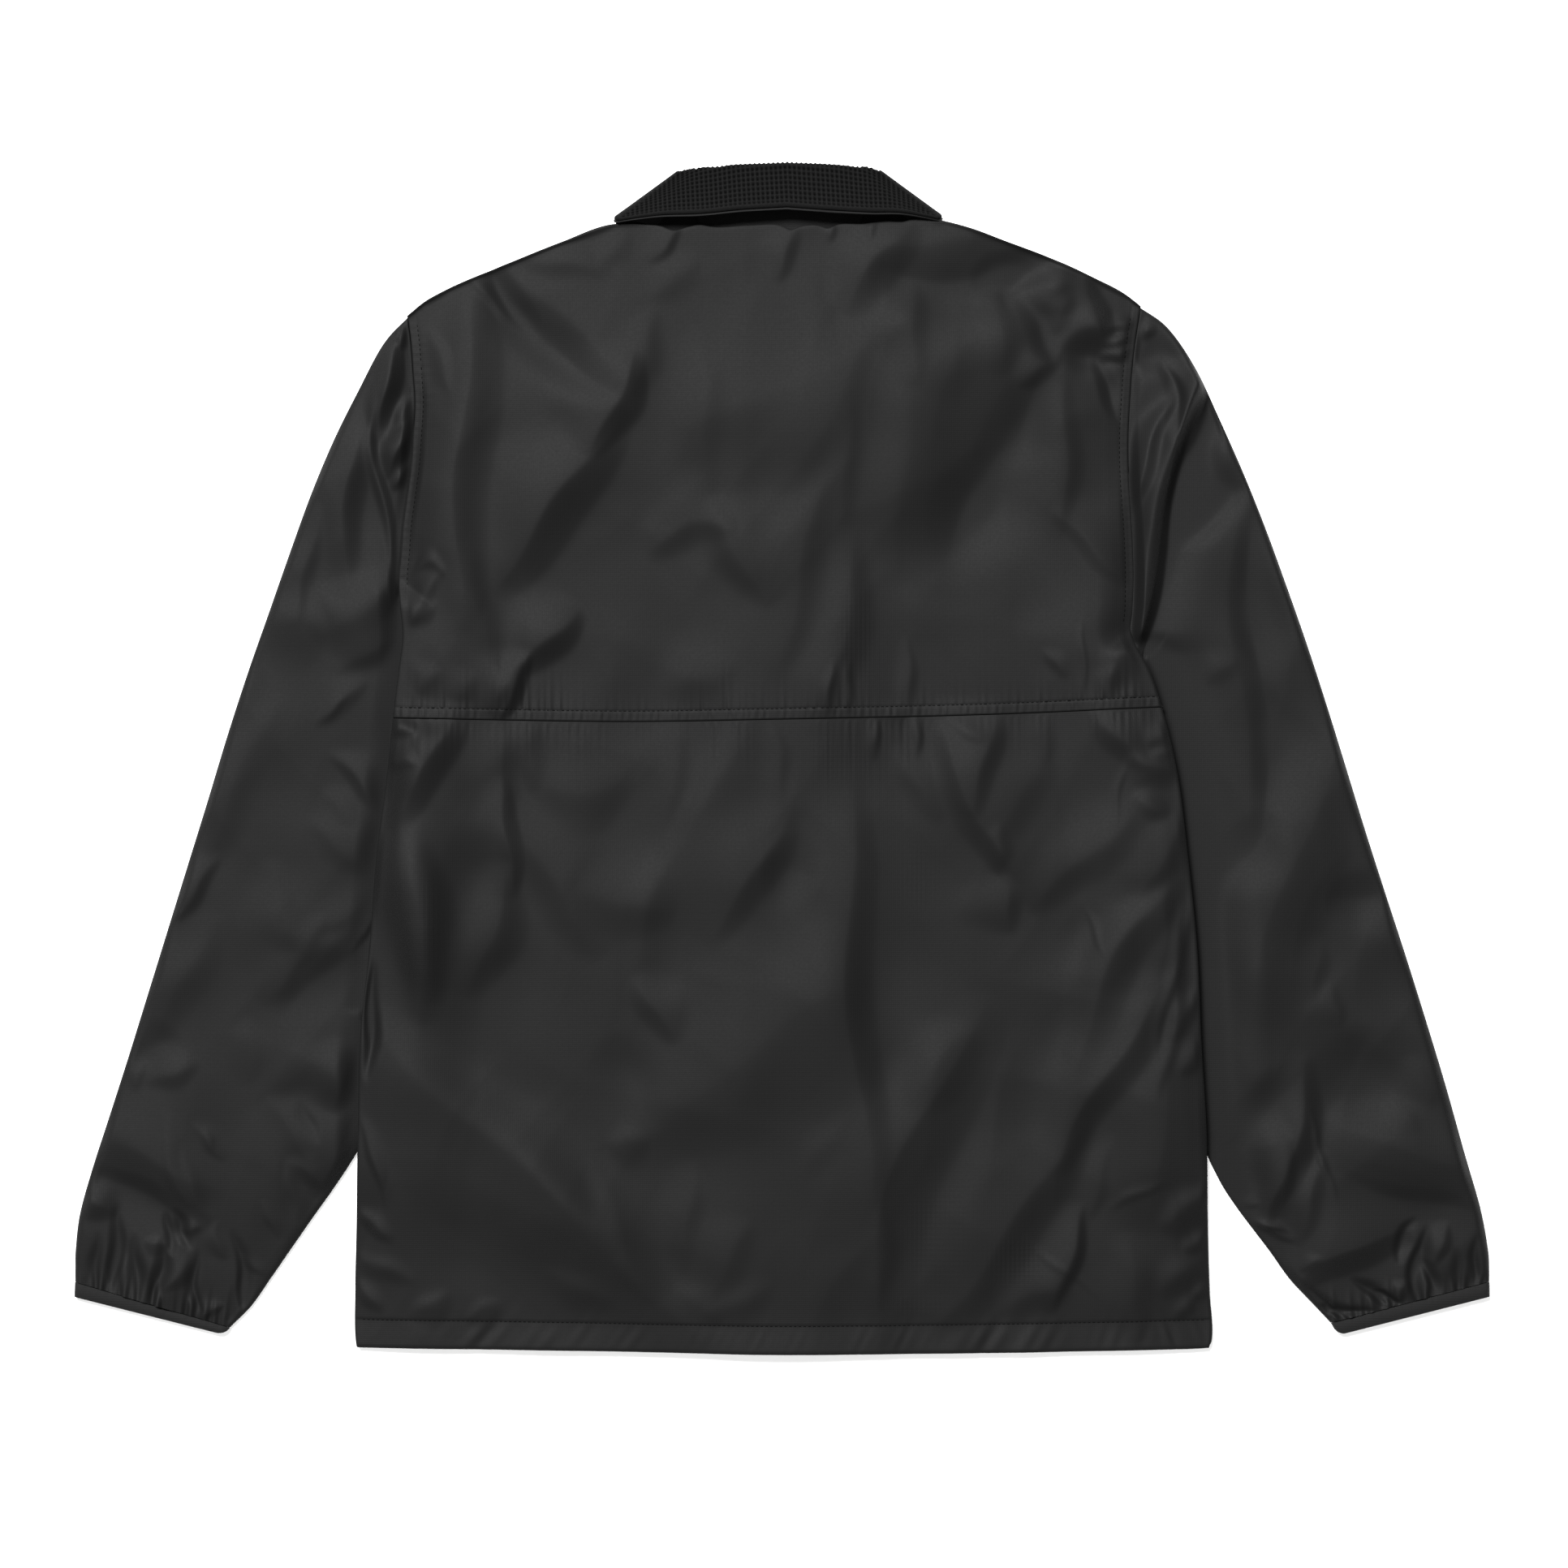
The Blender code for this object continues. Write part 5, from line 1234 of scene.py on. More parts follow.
SLEEVE_CREASES = {
    -1: (
        # sleeve head
        (-271, 242, -287, 116, -4, 4.6, 14, 30, 0.5),
        (-268, 238, -254, 128, -3, 2.2, 5, 6, 0.7),
        (-250, 272, -262, 212, -3, 6.2, 9, 12, 0.85),
        (-243, 284, -250, 268, 0, 2.6, 6, 6, 0.7),
        (-250, 286, -256, 272, 0, -1.6, 3, 4, 0.5),
        (-240, 228, -257, 186, 1, 5.6, 9, 14, 0.8),
        (-242, 236, -252, 218, 0, 1.6, 5, 8, 0.4),
        (-244, 191, -254, 176, 0, 2.2, 6, 7, 0.6),
        (-303, 160, -318, 92, -1, 2.0, 9, 18, 0.3),
        (-262, 124, -304, 115, 0, -2.4, 28, 22, 0.5),
        # below the armpit
        (-252, 113, -302, 80, 2, 4.6, 36, 48, 0.6),
        (-248, 113, -262, 94, 0, 1.5, 8, 16, 0.5),
        (-300, 84, -340, 87, -4, 3.2, 34, 24, 0.5),
        (-256, 77, -290, 58, 0, 1.5, 10, 22, 0.3),
        (-274, 50, -302, 24, 0, 1.5, 8, 18, 0.4),
        (-284, 40, -304, 22, 0, 0.9, 4, 7, 0.5),
        (-260, -36, -293, 2, -2, 3.2, 8, 16, 0.55),
        (-334, 34, -382, -70, 0, 2.8, 18, 28, 0.3),
        (-266, -76, -308, -42, 0, 1.6, 12, 22, 0.3),
        (-280, -42, -298, -22, 0, 1.0, 9, 16, 0.2),
        (-370, -66, -396, -105, 0, 3.0, 7, 18, 0.6),
        (-392, -100, -402, -104, 0, 1.2, 4, 6, 0.6),
        (-334, -70, -322, -122, 0, 2.0, 15, 26, 0.3),
        (-264, -90, -302, -112, 0, 1.4, 10, 20, 0.2),
        (-266, -113, -326, -166, 0, -2.8, 44, 15, 0.6),
        (-300, -104, -318, -134, 0, 1.2, 9, 16, 0.3),
        (-316, -132, -338, -160, 0, 1.4, 12, 20, 0.2),
        (-372, -108, -412, -180, 0, 3.0, 18, 32, 0.4),
        (-394, -184, -428, -194, 0, -2.2, 30, 16, 0.65),
        (-383, -201, -415, -211, 0, 2.4, 10, 18, 0.6),
        (-416, -198, -424, -216, 0, 1.0, 5, 9, 0.3),
        (-350, -172, -346, -210, 0, 1.4, 12, 20, 0.3),
        (-308, -196, -332, -218, 0, 1.0, 14, 20, 0.2),
        (-277, -188, -294, -228, 0, 5.2, 12, 34, 0.7),
        (-280, -231, -300, -284, -2, 5.6, 15, 34, 0.7),
        (-308, -262, -334, -224, 0, 2.8, 13, 24, 0.5),
        (-302, -250, -315, -226, 0, -1.2, 9, 5, 0.5),
        (-338, -232, -326, -306, 0, 2.8, 16, 28, 0.4),
        (-298, -279, -322, -262, 0, 1.8, 8, 12, 0.5),
        (-316, -300, -323, -266, 0, 1.4, 6, 10, 0.5),
        (-366, -262, -384, -240, 0, 1.2, 5, 10, 0.5),
        (-372, -256, -378, -242, 0, 0.7, 3, 5, 0.6),
        (-330, -312, -340, -290, 0, 0.8, 4, 7, 0.4),
        # above the cuff
        (-370, -282, -446, -246, 0, 4.4, 24, 70, 0.75),
        (-388, -303, -456, -267, -1, -2.4, 26, 10, 0.7),
        (-380, -304, -404, -236, 5, 1.8, 7, 14, 0.4),
        (-376, -300, -390, -256, 3, 1.2, 5, 9, 0.4),
        (-436, -296, -460, -282, 2, 4.0, 12, 18, 0.75),
        (-434, -296, -438, -352, 0, -4.4, 7, 6, 0.7),
        (-447, -312, -450, -350, 0, -1.8, 5, 6, 0.4),
        (-424, -314, -421, -356, 0, -3.0, 8, 7, 0.6),
        (-404, -316, -417, -362, 3, -3.6, 9, 7, 0.6),
        (-402, -318, -416, -316, 0, 1.6, 8, 5, 0.7),
        (-403, -298, -398, -324, 0, -2.8, 7, 4, 0.6),
        (-397, -296, -388, -320, 0, -3.4, 7, 5, 0.6),
        (-380, -306, -392, -309, 0, 1.6, 5, 8, 0.6),
        (-388, -325, -407, -348, 3, 1.3, 7, 12, 0.5),
        (-382, -324, -381, -362, -3, -2.2, 4, 6, 0.5),
        (-370, -304, -364, -326, -3, 1.4, 6, 9, 0.4),
        (-358, -312, -352, -364, 2, -2.8, 8, 4, 0.6),
        (-366, -357, -382, -366, 0, 1.2, 4, 8, 0.6),
        (-338, -338, -354, -326, 0, 0.6, 4, 7, 0.5),
    ),
    1: (
        # sleeve head and the deep tuck
        (268, 260, 226, 76, 2, 2.2, 15, 22, 0.5),
        (287, 290, 211, 23, 0, 8.2, 7, 21, 0.95),
        (281, 264, 257, 172, 0, 3.0, 6, 16, 0.9),
        (300, 310, 226, 54, 0, -5.4, 32, 9, 0.7),
        (254, 232, 228, 157, -5, 5.2, 8, 14, 0.8),
        (250, 257, 257, 207, 5, -2.6, 5, 9, 0.6),
        (262, 262, 230, 262, 0, -2.4, 14, 17, 0.5),
        (244, 279, 230, 280, 0, 1.6, 6, 9, 0.6),
        (290, 214, 274, 160, 0, 1.2, 14, 22, 0.5),
        (304, 181, 254, 144, 0, -4.8, 18, 44, 0.75),
        (252, 62, 244, 36, 0, 2.4, 8, 12, 0.4),
        (296, 64, 276, 52, 0, 0.9, 10, 16, 0.2),
        # long soft hollow and the bright band
        (306, 160, 318, -50, 0, -3.2, 30, 14, 0.6),
        (321, -42, 284, -84, 2, -3.0, 28, 22, 0.65),
        (354, -6, 284, -228, -1, 5.2, 36, 60, 0.65),
        (400, -92, 358, -93, -1, -2.4, 30, 18, 0.7),
        (352, -120, 345, -156, 0, 1.0, 9, 18, 0.3),
        (357, -148, 364, -174, 0, 0.9, 7, 16, 0.3),
        (384, -182, 350, -242, 2, -2.8, 44, 26, 0.5),
        (410, -196, 424, -226, 0, 1.0, 12, 18, 0.2),
        (396, -222, 414, -242, 0, 0.8, 9, 14, 0.2),
        # fans above the cuff
        (343, -200, 327, -292, 1, 5.0, 14, 28, 0.75),
        (342, -203, 300, -256, 0, -2.4, 36, 22, 0.5),
        (331, -254, 298, -258, -3, 3.2, 26, 28, 0.7),
        (332, -258, 315, -304, 0, 2.8, 9, 16, 0.6),
        (352, -260, 338, -314, 0, 2.2, 9, 16, 0.5),
        (360, -288, 344, -232, 0, 0.9, 3, 4, 0.7),
        (460, -265, 358, -236, 6, 4.6, 32, 48, 0.75),
        (462, -297, 364, -272, 6, -1.2, 44, 10, 0.6),
        (412, -310, 338, -343, -8, 4.4, 15, 40, 0.8),
        (334, -315, 304, -302, 0, 1.2, 4, 9, 0.6),
        (330, -309, 306, -303, 0, 1.0, 3, 4, 0.6),
        (312, -292, 297, -291, 0, 0.8, 3, 7, 0.6),
        (352, -326, 338, -334, 0, 0.9, 5, 7, 0.3),
        (413, -302, 403, -329, -4, -2.6, 8, 5, 0.6),
        (421, -309, 414, -356, -4, -4.0, 9, 5, 0.6),
        (417, -328, 427, -356, 3, -3.0, 7, 4, 0.6),
        (435, -305, 426, -330, 0, 2.0, 6, 16, 0.5),
        (440, -322, 444, -352, 0, -1.6, 5, 6, 0.4),
        (453, -314, 452, -350, 0, -2.2, 4, 5, 0.5),
        (374, -341, 402, -360, -1, -3.0, 7, 4, 0.6),
        (342, -346, 386, -362, -6, -2.4, 5, 4, 0.6),
        (344, -355, 372, -368, 0, -2.4, 3, 4, 0.6),
        (388, -348, 404, -357, 0, -2.2, 3, 3, 0.6),
        (408, -342, 400, -354, 0, 1.6, 6, 8, 0.4),
    ),
}
print("creases on the sleeves:", [len(SLEEVE_CREASES[side]) for side in (-1, 1)])

# %% Form of a sleeve
SLEEVE_CROWN, SLEEVE_CROWN_RUN = 1.6, 42.0
CROWN_FROM, CROWN_TO = (0.0, 0.10), (0.9, 1.0)     # shares of the sleeve where the crown grows, and sinks
CROWN_LOSS = 0.6                   # by this much, at the cuff
SLEEVE_BULGE = {-1: 0.8, 1: 2.4}   # the folded outer edge stays round
SLEEVE_BULGE_AT = 7.0
SLEEVE_RISE_BODY = {-1: (0.0, 15.0), 1: (6.0, 44.0)}    # a sleeve rises over this distance from the body
SLEEVE_DIP = {-1: 1.2, 1: 4.2}     # how far it sinks beside the body; the right one, some way out from it
SLEEVE_DIP_RUN = {-1: 5.0, 1: 11.0}
SLEEVE_CALM = {-1: 0.35, 1: 0.08}  # how much weaker its creases are halfway down than at its ends
CALM_FROM, CALM_TO = (0.25, 0.35), (0.84, 0.92)
STILL_EDGE, STILL_HEAD = (0.0, 7.0), (0.0, 0.012)  # creases fade out towards its edges and the armhole
SLEEVE_RIPPLE, RIPPLE_SHIFT = 1.3, 500.0           # each sleeve has its own stretch of the unevenness
SLEEVE_RISE_ARMHOLE = (0.0, 7.0)
SLEEVE_BOW_ROWS = 0.4
ARMPIT_TUCK = 22.0                 # just below the armpit the inner edge goes further under the body
ARMPIT_FROM, ARMPIT_TO = (0.0, 0.045), (0.2, 0.34)
UNDER_BODY, UNDER_RUN = 0.25, 2.5  # space left under the body's edge, and how far out it opens
BOW_ENDS = (0.012, 0.05)
ARMHOLE_GAP = 0.15
SLEEVE_ROLL = (5.5, 9.0)           # the tube's outer and inner edges are rounded over these distances
GATHERS, GATHER_PITCH, GATHER_START = 21, 1.02, 0.4
GATHER_HEIGHT, GATHER_RUN, GATHER_EDGE = 1.5, 0.075, 5.0
GATHER_UNEVEN, GATHER_UNEVEN_WAVE = 0.35, (13.0, 1.1)
LOWEST_TOP = 2 * CLOTH + 0.6


def sleeve_plan(side, place, share):
    """Plan of a sleeve at places along it and shares across it, both as grids."""
    table = np.array(SLEEVES[side])
    known = np.linspace(0.0, 1.0, len(table))
    at = {name: smooth_through(place, known, column) for name, column in zip(SLEEVE_COLUMNS, table.T)}
    at["inner_x"] = (at["inner_x"] - side * ARMPIT_TUCK * ease(place, *ARMPIT_FROM)
                     * (1 - ease(place, *ARMPIT_TO)))
    start, end = (np.stack([at[f"{edge}_x"], at[f"{edge}_y"]], axis=-1) for edge in ("outer", "inner"))
    plan = start + (end - start) * share[..., None]
    head = dict(zip(SLEEVE_COLUMNS, table[0]))
    arm_y = head["outer_y"] + (head["inner_y"] - head["outer_y"]) * share
    arm_x = head["outer_x"] + (head["inner_x"] - head["outer_x"]) * share
    curve = side_x(arm_y, side) + side * ARMHOLE_GAP - arm_x
    fade = ((1 - ease(place, 0.0, SLEEVE_BOW_ROWS)) * ease(share, 0.0, BOW_ENDS[0])
            * ease(1 - share, 0.0, BOW_ENDS[1]))
    plan[..., 0] += curve * fade
    return plan, np.linalg.norm(end - start, axis=-1)


def sleeve_top(side, place, share):
    """Upper side of a sleeve: its plan and its height."""
    plan, width = sleeve_plan(side, place, share)
    x, y = plan[..., 0], plan[..., 1]
    outside = side * (x - side_x(y, side))
    lift = dict(zip(LIFT_COLUMNS, LIFTS[0 if side < 0 else 1]))
    at_armhole = ease(y, lift["full"], lift["starts"])
    clear = (at_armhole * ease(outside, *SLEEVE_RISE_ARMHOLE)
             + (1 - at_armhole) * ease(outside, *SLEEVE_RISE_BODY[side]))
    away = np.clip(outside, 0.0, None) / SLEEVE_DIP_RUN[side]
    dip = SLEEVE_DIP[side] * (np.exp(-away) if side < 0 else away * np.exp(1 - away)) * (1 - at_armhole)
    from_edge = np.minimum(share, 1 - share) * width
    roll = np.where(share < 0.5, *SLEEVE_ROLL)
    rounded = np.sqrt(1 - np.clip(1 - from_edge / roll, 0.0, 1.0) ** 2)
    from_fold = share * width / SLEEVE_BULGE_AT
    bulge = SLEEVE_BULGE[side] * from_fold * np.exp(1 - from_fold)
    crown = SLEEVE_CROWN * ease(from_edge, 0.0, SLEEVE_CROWN_RUN) + bulge
    crown = crown * ease(place, *CROWN_FROM) * (1 - CROWN_LOSS * ease(place, *CROWN_TO))
    calm = 1 - SLEEVE_CALM[side] * ease(place, *CALM_FROM) * (1 - ease(place, *CALM_TO))
    creases = (calm * crease_height(x, y, SLEEVE_CREASES[side])
               + SLEEVE_RIPPLE * ripple(x + RIPPLE_SHIFT * side, y))
    creases = creases * ease(from_edge, *STILL_EDGE) * ease(place, *STILL_HEAD)
    wave = uneven(share * width, width.mean() / GATHERS * GATHER_PITCH, GATHER_START + side)
    run = GATHER_RUN * (1.0 + GATHER_UNEVEN * uneven(share * width, *GATHER_UNEVEN_WAVE))
    gather = GATHER_HEIGHT * ease(place, 1 - run, 1.0) * wave * ease(from_edge, 0.0, GATHER_EDGE)
    rise = np.where(crown + creases > 0, clear * (crown + creases), creases + crown * clear)
    top = come_to_rest(SLEEVE_EDGE + rise + gather - dip, LOWEST_TOP)
    ceiling = FRONT_TOP - FRONT_WALL + side_lift(side_x(y, side), y) - UNDER_BODY
    under = (1 - ease(outside, 0.0, UNDER_RUN)) * (1 - at_armhole)
    top = top + (np.minimum(top, np.maximum(ceiling, LOWEST_TOP)) - top) * under
    armhole_groove = ARMHOLE_GROOVE * np.clip(1 - outside / GROOVE_WIDTH, 0.0, 1.0) ** 2 * at_armhole
    return plan, SLEEVE_EDGE / 2 + (top - SLEEVE_EDGE / 2) * rounded - armhole_groove


print("gathers above each cuff:", GATHERS)

# %% Sleeves
SLEEVE_LENGTH, SLEEVE_WIDTH = 600.0, 130.0
SLEEVE_STEP = (1.15, 1.6)
TUBE_EDGE_STEPS = (0.35, 0.9, 1.8, 3.0, 4.4)
HEAD_STEPS, END_STEPS = (0.5, 1.1, 1.8, 2.6), (0.6, 1.2, 2.0, 2.8, 3.8, 4.8, 6.0)
UNDER_STEPS = 14
INSIDE_STRIDE = (8, 5)
INSIDE_SHARES, INSIDE_LEAST = (0.025, 0.975), 0.4  # how far the hollow reaches across, and its least height

across = steps(SLEEVE_WIDTH, SLEEVE_STEP[0], TUBE_EDGE_STEPS, TUBE_EDGE_STEPS)
along_sleeve = steps(SLEEVE_LENGTH, SLEEVE_STEP[1], HEAD_STEPS, END_STEPS)
rows, columns = every(len(along_sleeve), INSIDE_STRIDE[0]), every(len(across), INSIDE_STRIDE[1])
top_grid = np.meshgrid(along_sleeve, across, indexing="ij")
under_grid = np.meshgrid(along_sleeve, np.linspace(1.0, 0.0, UNDER_STEPS + 1)[1:-1], indexing="ij")
inside_grid = np.meshgrid(along_sleeve[rows], np.clip(across, *INSIDE_SHARES)[columns], indexing="ij")

sleeve_pieces, sleeve_areas = {}, {}
for side, word in ((-1, "left"), (1, "right")):
    plan, height = sleeve_top(side, *top_grid)
    over = np.concatenate([plan, height[..., None]], axis=-1)
    plan_under = sleeve_plan(side, *under_grid)[0]
    under = np.concatenate([plan_under, np.zeros_like(plan_under[..., :1])], axis=-1)
    outer = np.concatenate([over, under], axis=1)
    # the hollow inside, as a coarser tube one cloth thinner
    low = lowest_near(height, max(INSIDE_STRIDE))[np.ix_(rows, columns)]
    ceiling = np.clip(low - CLOTH, CLOTH + INSIDE_LEAST, None)
    inside_over = np.concatenate([sleeve_plan(side, *inside_grid)[0], ceiling[..., None]], axis=-1)
    inside_under = inside_over[:, -2:0:-1].copy()
    inside_under[..., 2] = CLOTH
    inner = np.concatenate([inside_over, inside_under], axis=1)
    piece = tube_piece(f"sleeve_cloth_{word}", outer, inner, nylon)
    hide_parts(f"sleeve_{word}")
    sleeve_pieces[word] = piece
    sleeve_areas[word] = sheet_area(np.concatenate([outer, outer[:, :1]], axis=1))
    print(piece.name, len(piece.data.polygons), "faces,", round(sleeve_areas[word], 4), "square metres")

# %% [markdown]
# ## Cuff bindings
# Each sleeve ends in a narrow elastic tape, folded over the gathered edge and sewn through. It is a short
# flattened tube, a little proud of the sleeve, with a soft swell.

# %% Cuff bindings
CUFF_COLUMNS = ("top_outer_x", "top_outer_y", "top_inner_x", "top_inner_y",
                "end_outer_x", "end_outer_y", "end_inner_x", "end_inner_y")
CUFFS = {
    "left": (-462.7, -342.8, -361.2, -372.6, -463.1, -352.2, -364.8, -377.0),
    "right": (462.4, -342.6, 358.9, -369.6, 462.6, -352.0, 362.6, -377.4),
}
CUFF_HEIGHT, CUFF_WALL, CUFF_SWELL = 6.4, 1.8, 0.5
CUFF_STEP, CUFF_EDGE_STEPS = (1.2, 16), (0.3, 0.8, 1.6, 2.6)
CUFF_DRAW, CUFF_DRAW_WAVE, CUFF_DRAW_TO = 0.16, (5.0, 0.9), (0.1, 0.8)    # gathers' prints at its sewn edge
CUFF_ROUND, CUFF_ROUND_RUN = 0.75, 6.0     # its lower corner at the inner end is rounded
CUFF_RIMS, CUFF_RIM_SHAPE = (0.03, 0.97), 0.35
CUFF_FULL = (0.80, 0.20)                   # its height at the rims, and what is added between them


def between(corners, t, s):
    """Places between four corners: outer and inner at the top, outer and inner at the end."""
    shares = ((1 - t) * (1 - s), (1 - t) * s, t * (1 - s), t * s)
    return sum(share[..., None] * corner for share, corner in zip(shares, corners))


cuff_pieces, cuff_areas = {}, {}
for word, row in CUFFS.items():
    cuff = dict(zip(CUFF_COLUMNS, row))
    corners = [np.array([cuff[f"{a}_{b}_x"], cuff[f"{a}_{b}_y"]])
               for a in ("top", "end") for b in ("outer", "inner")]
    width = float(np.linalg.norm(corners[1] - corners[0]))
    across = steps(width, CUFF_STEP[0], CUFF_EDGE_STEPS, CUFF_EDGE_STEPS)
    down = (1 - np.cos(np.linspace(0.0, math.pi, CUFF_STEP[1]))) / 2
    ring_share = np.concatenate([across, across[-2:0:-1]])
    ring_up = np.concatenate([np.ones(len(across)), -np.ones(len(across) - 2)])
    t, s = np.meshgrid(down, ring_share, indexing="ij")
    from_corner = np.clip(1 - (1 - s) * width / CUFF_ROUND_RUN, 0.0, 1.0)
    t = t * (1 - CUFF_ROUND * (1 - np.sqrt(1 - from_corner ** 2)))
    from_edge = np.minimum(s, 1 - s) * width
    rounded = np.sqrt(1 - np.clip(1 - from_edge / (CUFF_HEIGHT / 2), 0.0, 1.0) ** 2)
    rim = np.sin(np.pi * np.clip(down, *CUFF_RIMS))[:, None] ** CUFF_RIM_SHAPE
    drawn = CUFF_DRAW * uneven(s * width, *CUFF_DRAW_WAVE) * (1 - ease(t, *CUFF_DRAW_TO))
    half = CUFF_HEIGHT / 2 * (CUFF_FULL[0] + CUFF_FULL[1] * rim) + CUFF_SWELL * np.sin(np.pi * t) + drawn
    z = CUFF_HEIGHT / 2 + ring_up * rounded * np.where(ring_up > 0, half, CUFF_HEIGHT / 2)
    outer = np.concatenate([between(corners, t, s), z[..., None]], axis=-1)
    inset = np.clip(s, CUFF_WALL / width, 1 - CUFF_WALL / width)
    z = CUFF_HEIGHT / 2 + ring_up * rounded * (CUFF_HEIGHT / 2 - CUFF_WALL)
    inner = np.concatenate([between(corners, t, inset), z[..., None]], axis=-1)
    piece = tube_piece(f"cuff_tape_{word}", outer, inner, elastic)
    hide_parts(f"cuff_binding_{word}")
    cuff_pieces[word] = piece
    cuff_areas[word] = sheet_area(np.concatenate([outer, outer[:, :1]], axis=1))
    print(piece.name, len(piece.data.polygons), "faces")

# %% [markdown]
# ## Collar
# The collar stands up from the neck seam, rolls over and falls back on itself, so its fleece inside is what
# shows from above. Its points lie under the fronts. Two cloths follow the same line: the fleece on the
# outside of the roll, with the pits of its grid as real dents, and the nylon on the inside, a little
# longer, so that a thin smooth edge shows under the fleece.

# %% Collar tables
COLLAR_COLUMNS = ("roll_x", "roll_y", "edge_x", "edge_y", "neck_x", "neck_y", "turn", "edge_lift", "fineness")
COLLAR_LEFT = (
    (3.0, 386.9, 3.0, 358.6, 3.0, 348.6, 0.0, 4.2, 0.5),
    (-24.0, 385.6, -27.0, 356.8, -29.0, 348.6, 0.0, 4.4, 0.5),
    (-43.0, 384.2, -53.0, 354.2, -57.0, 348.6, 0.0, 4.4, 0.5),
    (-58.5, 383.0, -80.0, 353.4, -82.0, 349.4, 0.0, 3.4, 0.5),
    (-67.8, 381.2, -106.8, 350.2, -101.0, 350.8, 0.0, 0.8, 0.7),
    (-67.4, 378.4, -107.7, 349.6, -102.6, 350.8, 180.0, 0.0, 2.0),
    (-58.0, 352.0, -113.0, 318.0, -91.0, 330.0, 180.0, 0.0, 2.0),
    (-42.0, 318.0, -102.0, 280.0, -65.0, 300.5, 180.0, 0.0, 2.0),
    (-24.0, 296.0, -76.0, 252.0, -36.5, 284.6, 180.0, 0.0, 2.0),
    (-6.0, 284.0, -42.0, 238.0, -8.6, 278.6, 180.0, 0.0, 2.0),
)
COLLAR_RIGHT = (
    (3.0, 386.9, 3.0, 358.6, 3.0, 348.6, 0.0, 4.2, 0.5),
    (28.0, 385.6, 30.0, 356.6, 31.0, 350.2, 0.0, 4.4, 0.5),
    (46.0, 384.2, 56.0, 355.2, 58.0, 351.0, 0.0, 4.4, 0.5),
    (57.0, 383.8, 78.0, 355.0, 80.0, 351.8, 0.0, 3.4, 0.5),
    (63.8, 381.2, 101.4, 351.2, 95.0, 353.0, 0.0, 0.8, 0.7),
    (63.4, 379.2, 102.6, 350.8, 96.4, 353.0, 180.0, 0.0, 2.0),
    (54.0, 352.0, 108.0, 319.0, 89.0, 331.0, 180.0, 0.0, 2.0),
    (40.0, 318.0, 99.0, 280.0, 63.0, 300.5, 180.0, 0.0, 2.0),
    (22.0, 296.0, 74.0, 252.0, 34.5, 284.6, 180.0, 0.0, 2.0),
    (4.0, 284.0, 40.0, 238.0, 6.6, 278.6, 180.0, 0.0, 2.0),
)
COLLAR_MIDDLE, COLLAR_STAND, COLLAR_STACK = 5.9, 1.6, 3.0
TURN_STEPS = 10
STAND_ROWS, ROLL_ROWS, FALL_ROWS = 14, 9, 66
ROLL_XY, EDGE_XY, NECK_XY = (slice(first, first + 2) for first in (0, 2, 4))
TURN, EDGE_LIFT, FINENESS = (COLLAR_COLUMNS.index(name) for name in ("turn", "edge_lift", "fineness"))
STAND_DIP, STAND_DIP_X = 5.2, (54.0, 66.0)    # the stand sinks from the roll down to the neck seam
STAND_SHAPE, STAND_TURN = 0.6, 90.0     # fast at first, and not past this turn
NECK_TUCK = 4.0                         # and goes this far under the yoke's edge
TURN_TIGHT = (0.15, 0.25)               # how closely its layers lie at the turned ends, at roll and edge
EDGE_UP, FALL_SHAPE = 2.0, 1.4          # the free edge stands up more than the frame's, most of it at its end
FALL_ROW = -20                          # a row on the fall, counted from the free edge
print("sections of the collar:", len(COLLAR_LEFT) + len(COLLAR_RIGHT) - 1)


# %% Form of the collar
def collar_line(table):
    """The table's sections with even steps between them, from the middle of the back to a front."""
    table = np.array(table)
    edge = table[:, EDGE_XY]
    places = []
    for row in range(len(table) - 1):
        run = np.linalg.norm(edge[row + 1] - edge[row])
        turning = table[row, TURN] != table[row + 1, TURN]
        count = TURN_STEPS if turning else max(2, round(run / table[row, FINENESS]))
        places.extend(row + np.arange(count) / count)
    places = np.array(places + [len(table) - 1])
    known = np.arange(len(table))
    return np.stack([smooth_through(places, known, table[:, k]) for k in range(TURN)]
                    + [np.interp(places, known, table[:, k]) for k in (TURN, EDGE_LIFT)], axis=-1)


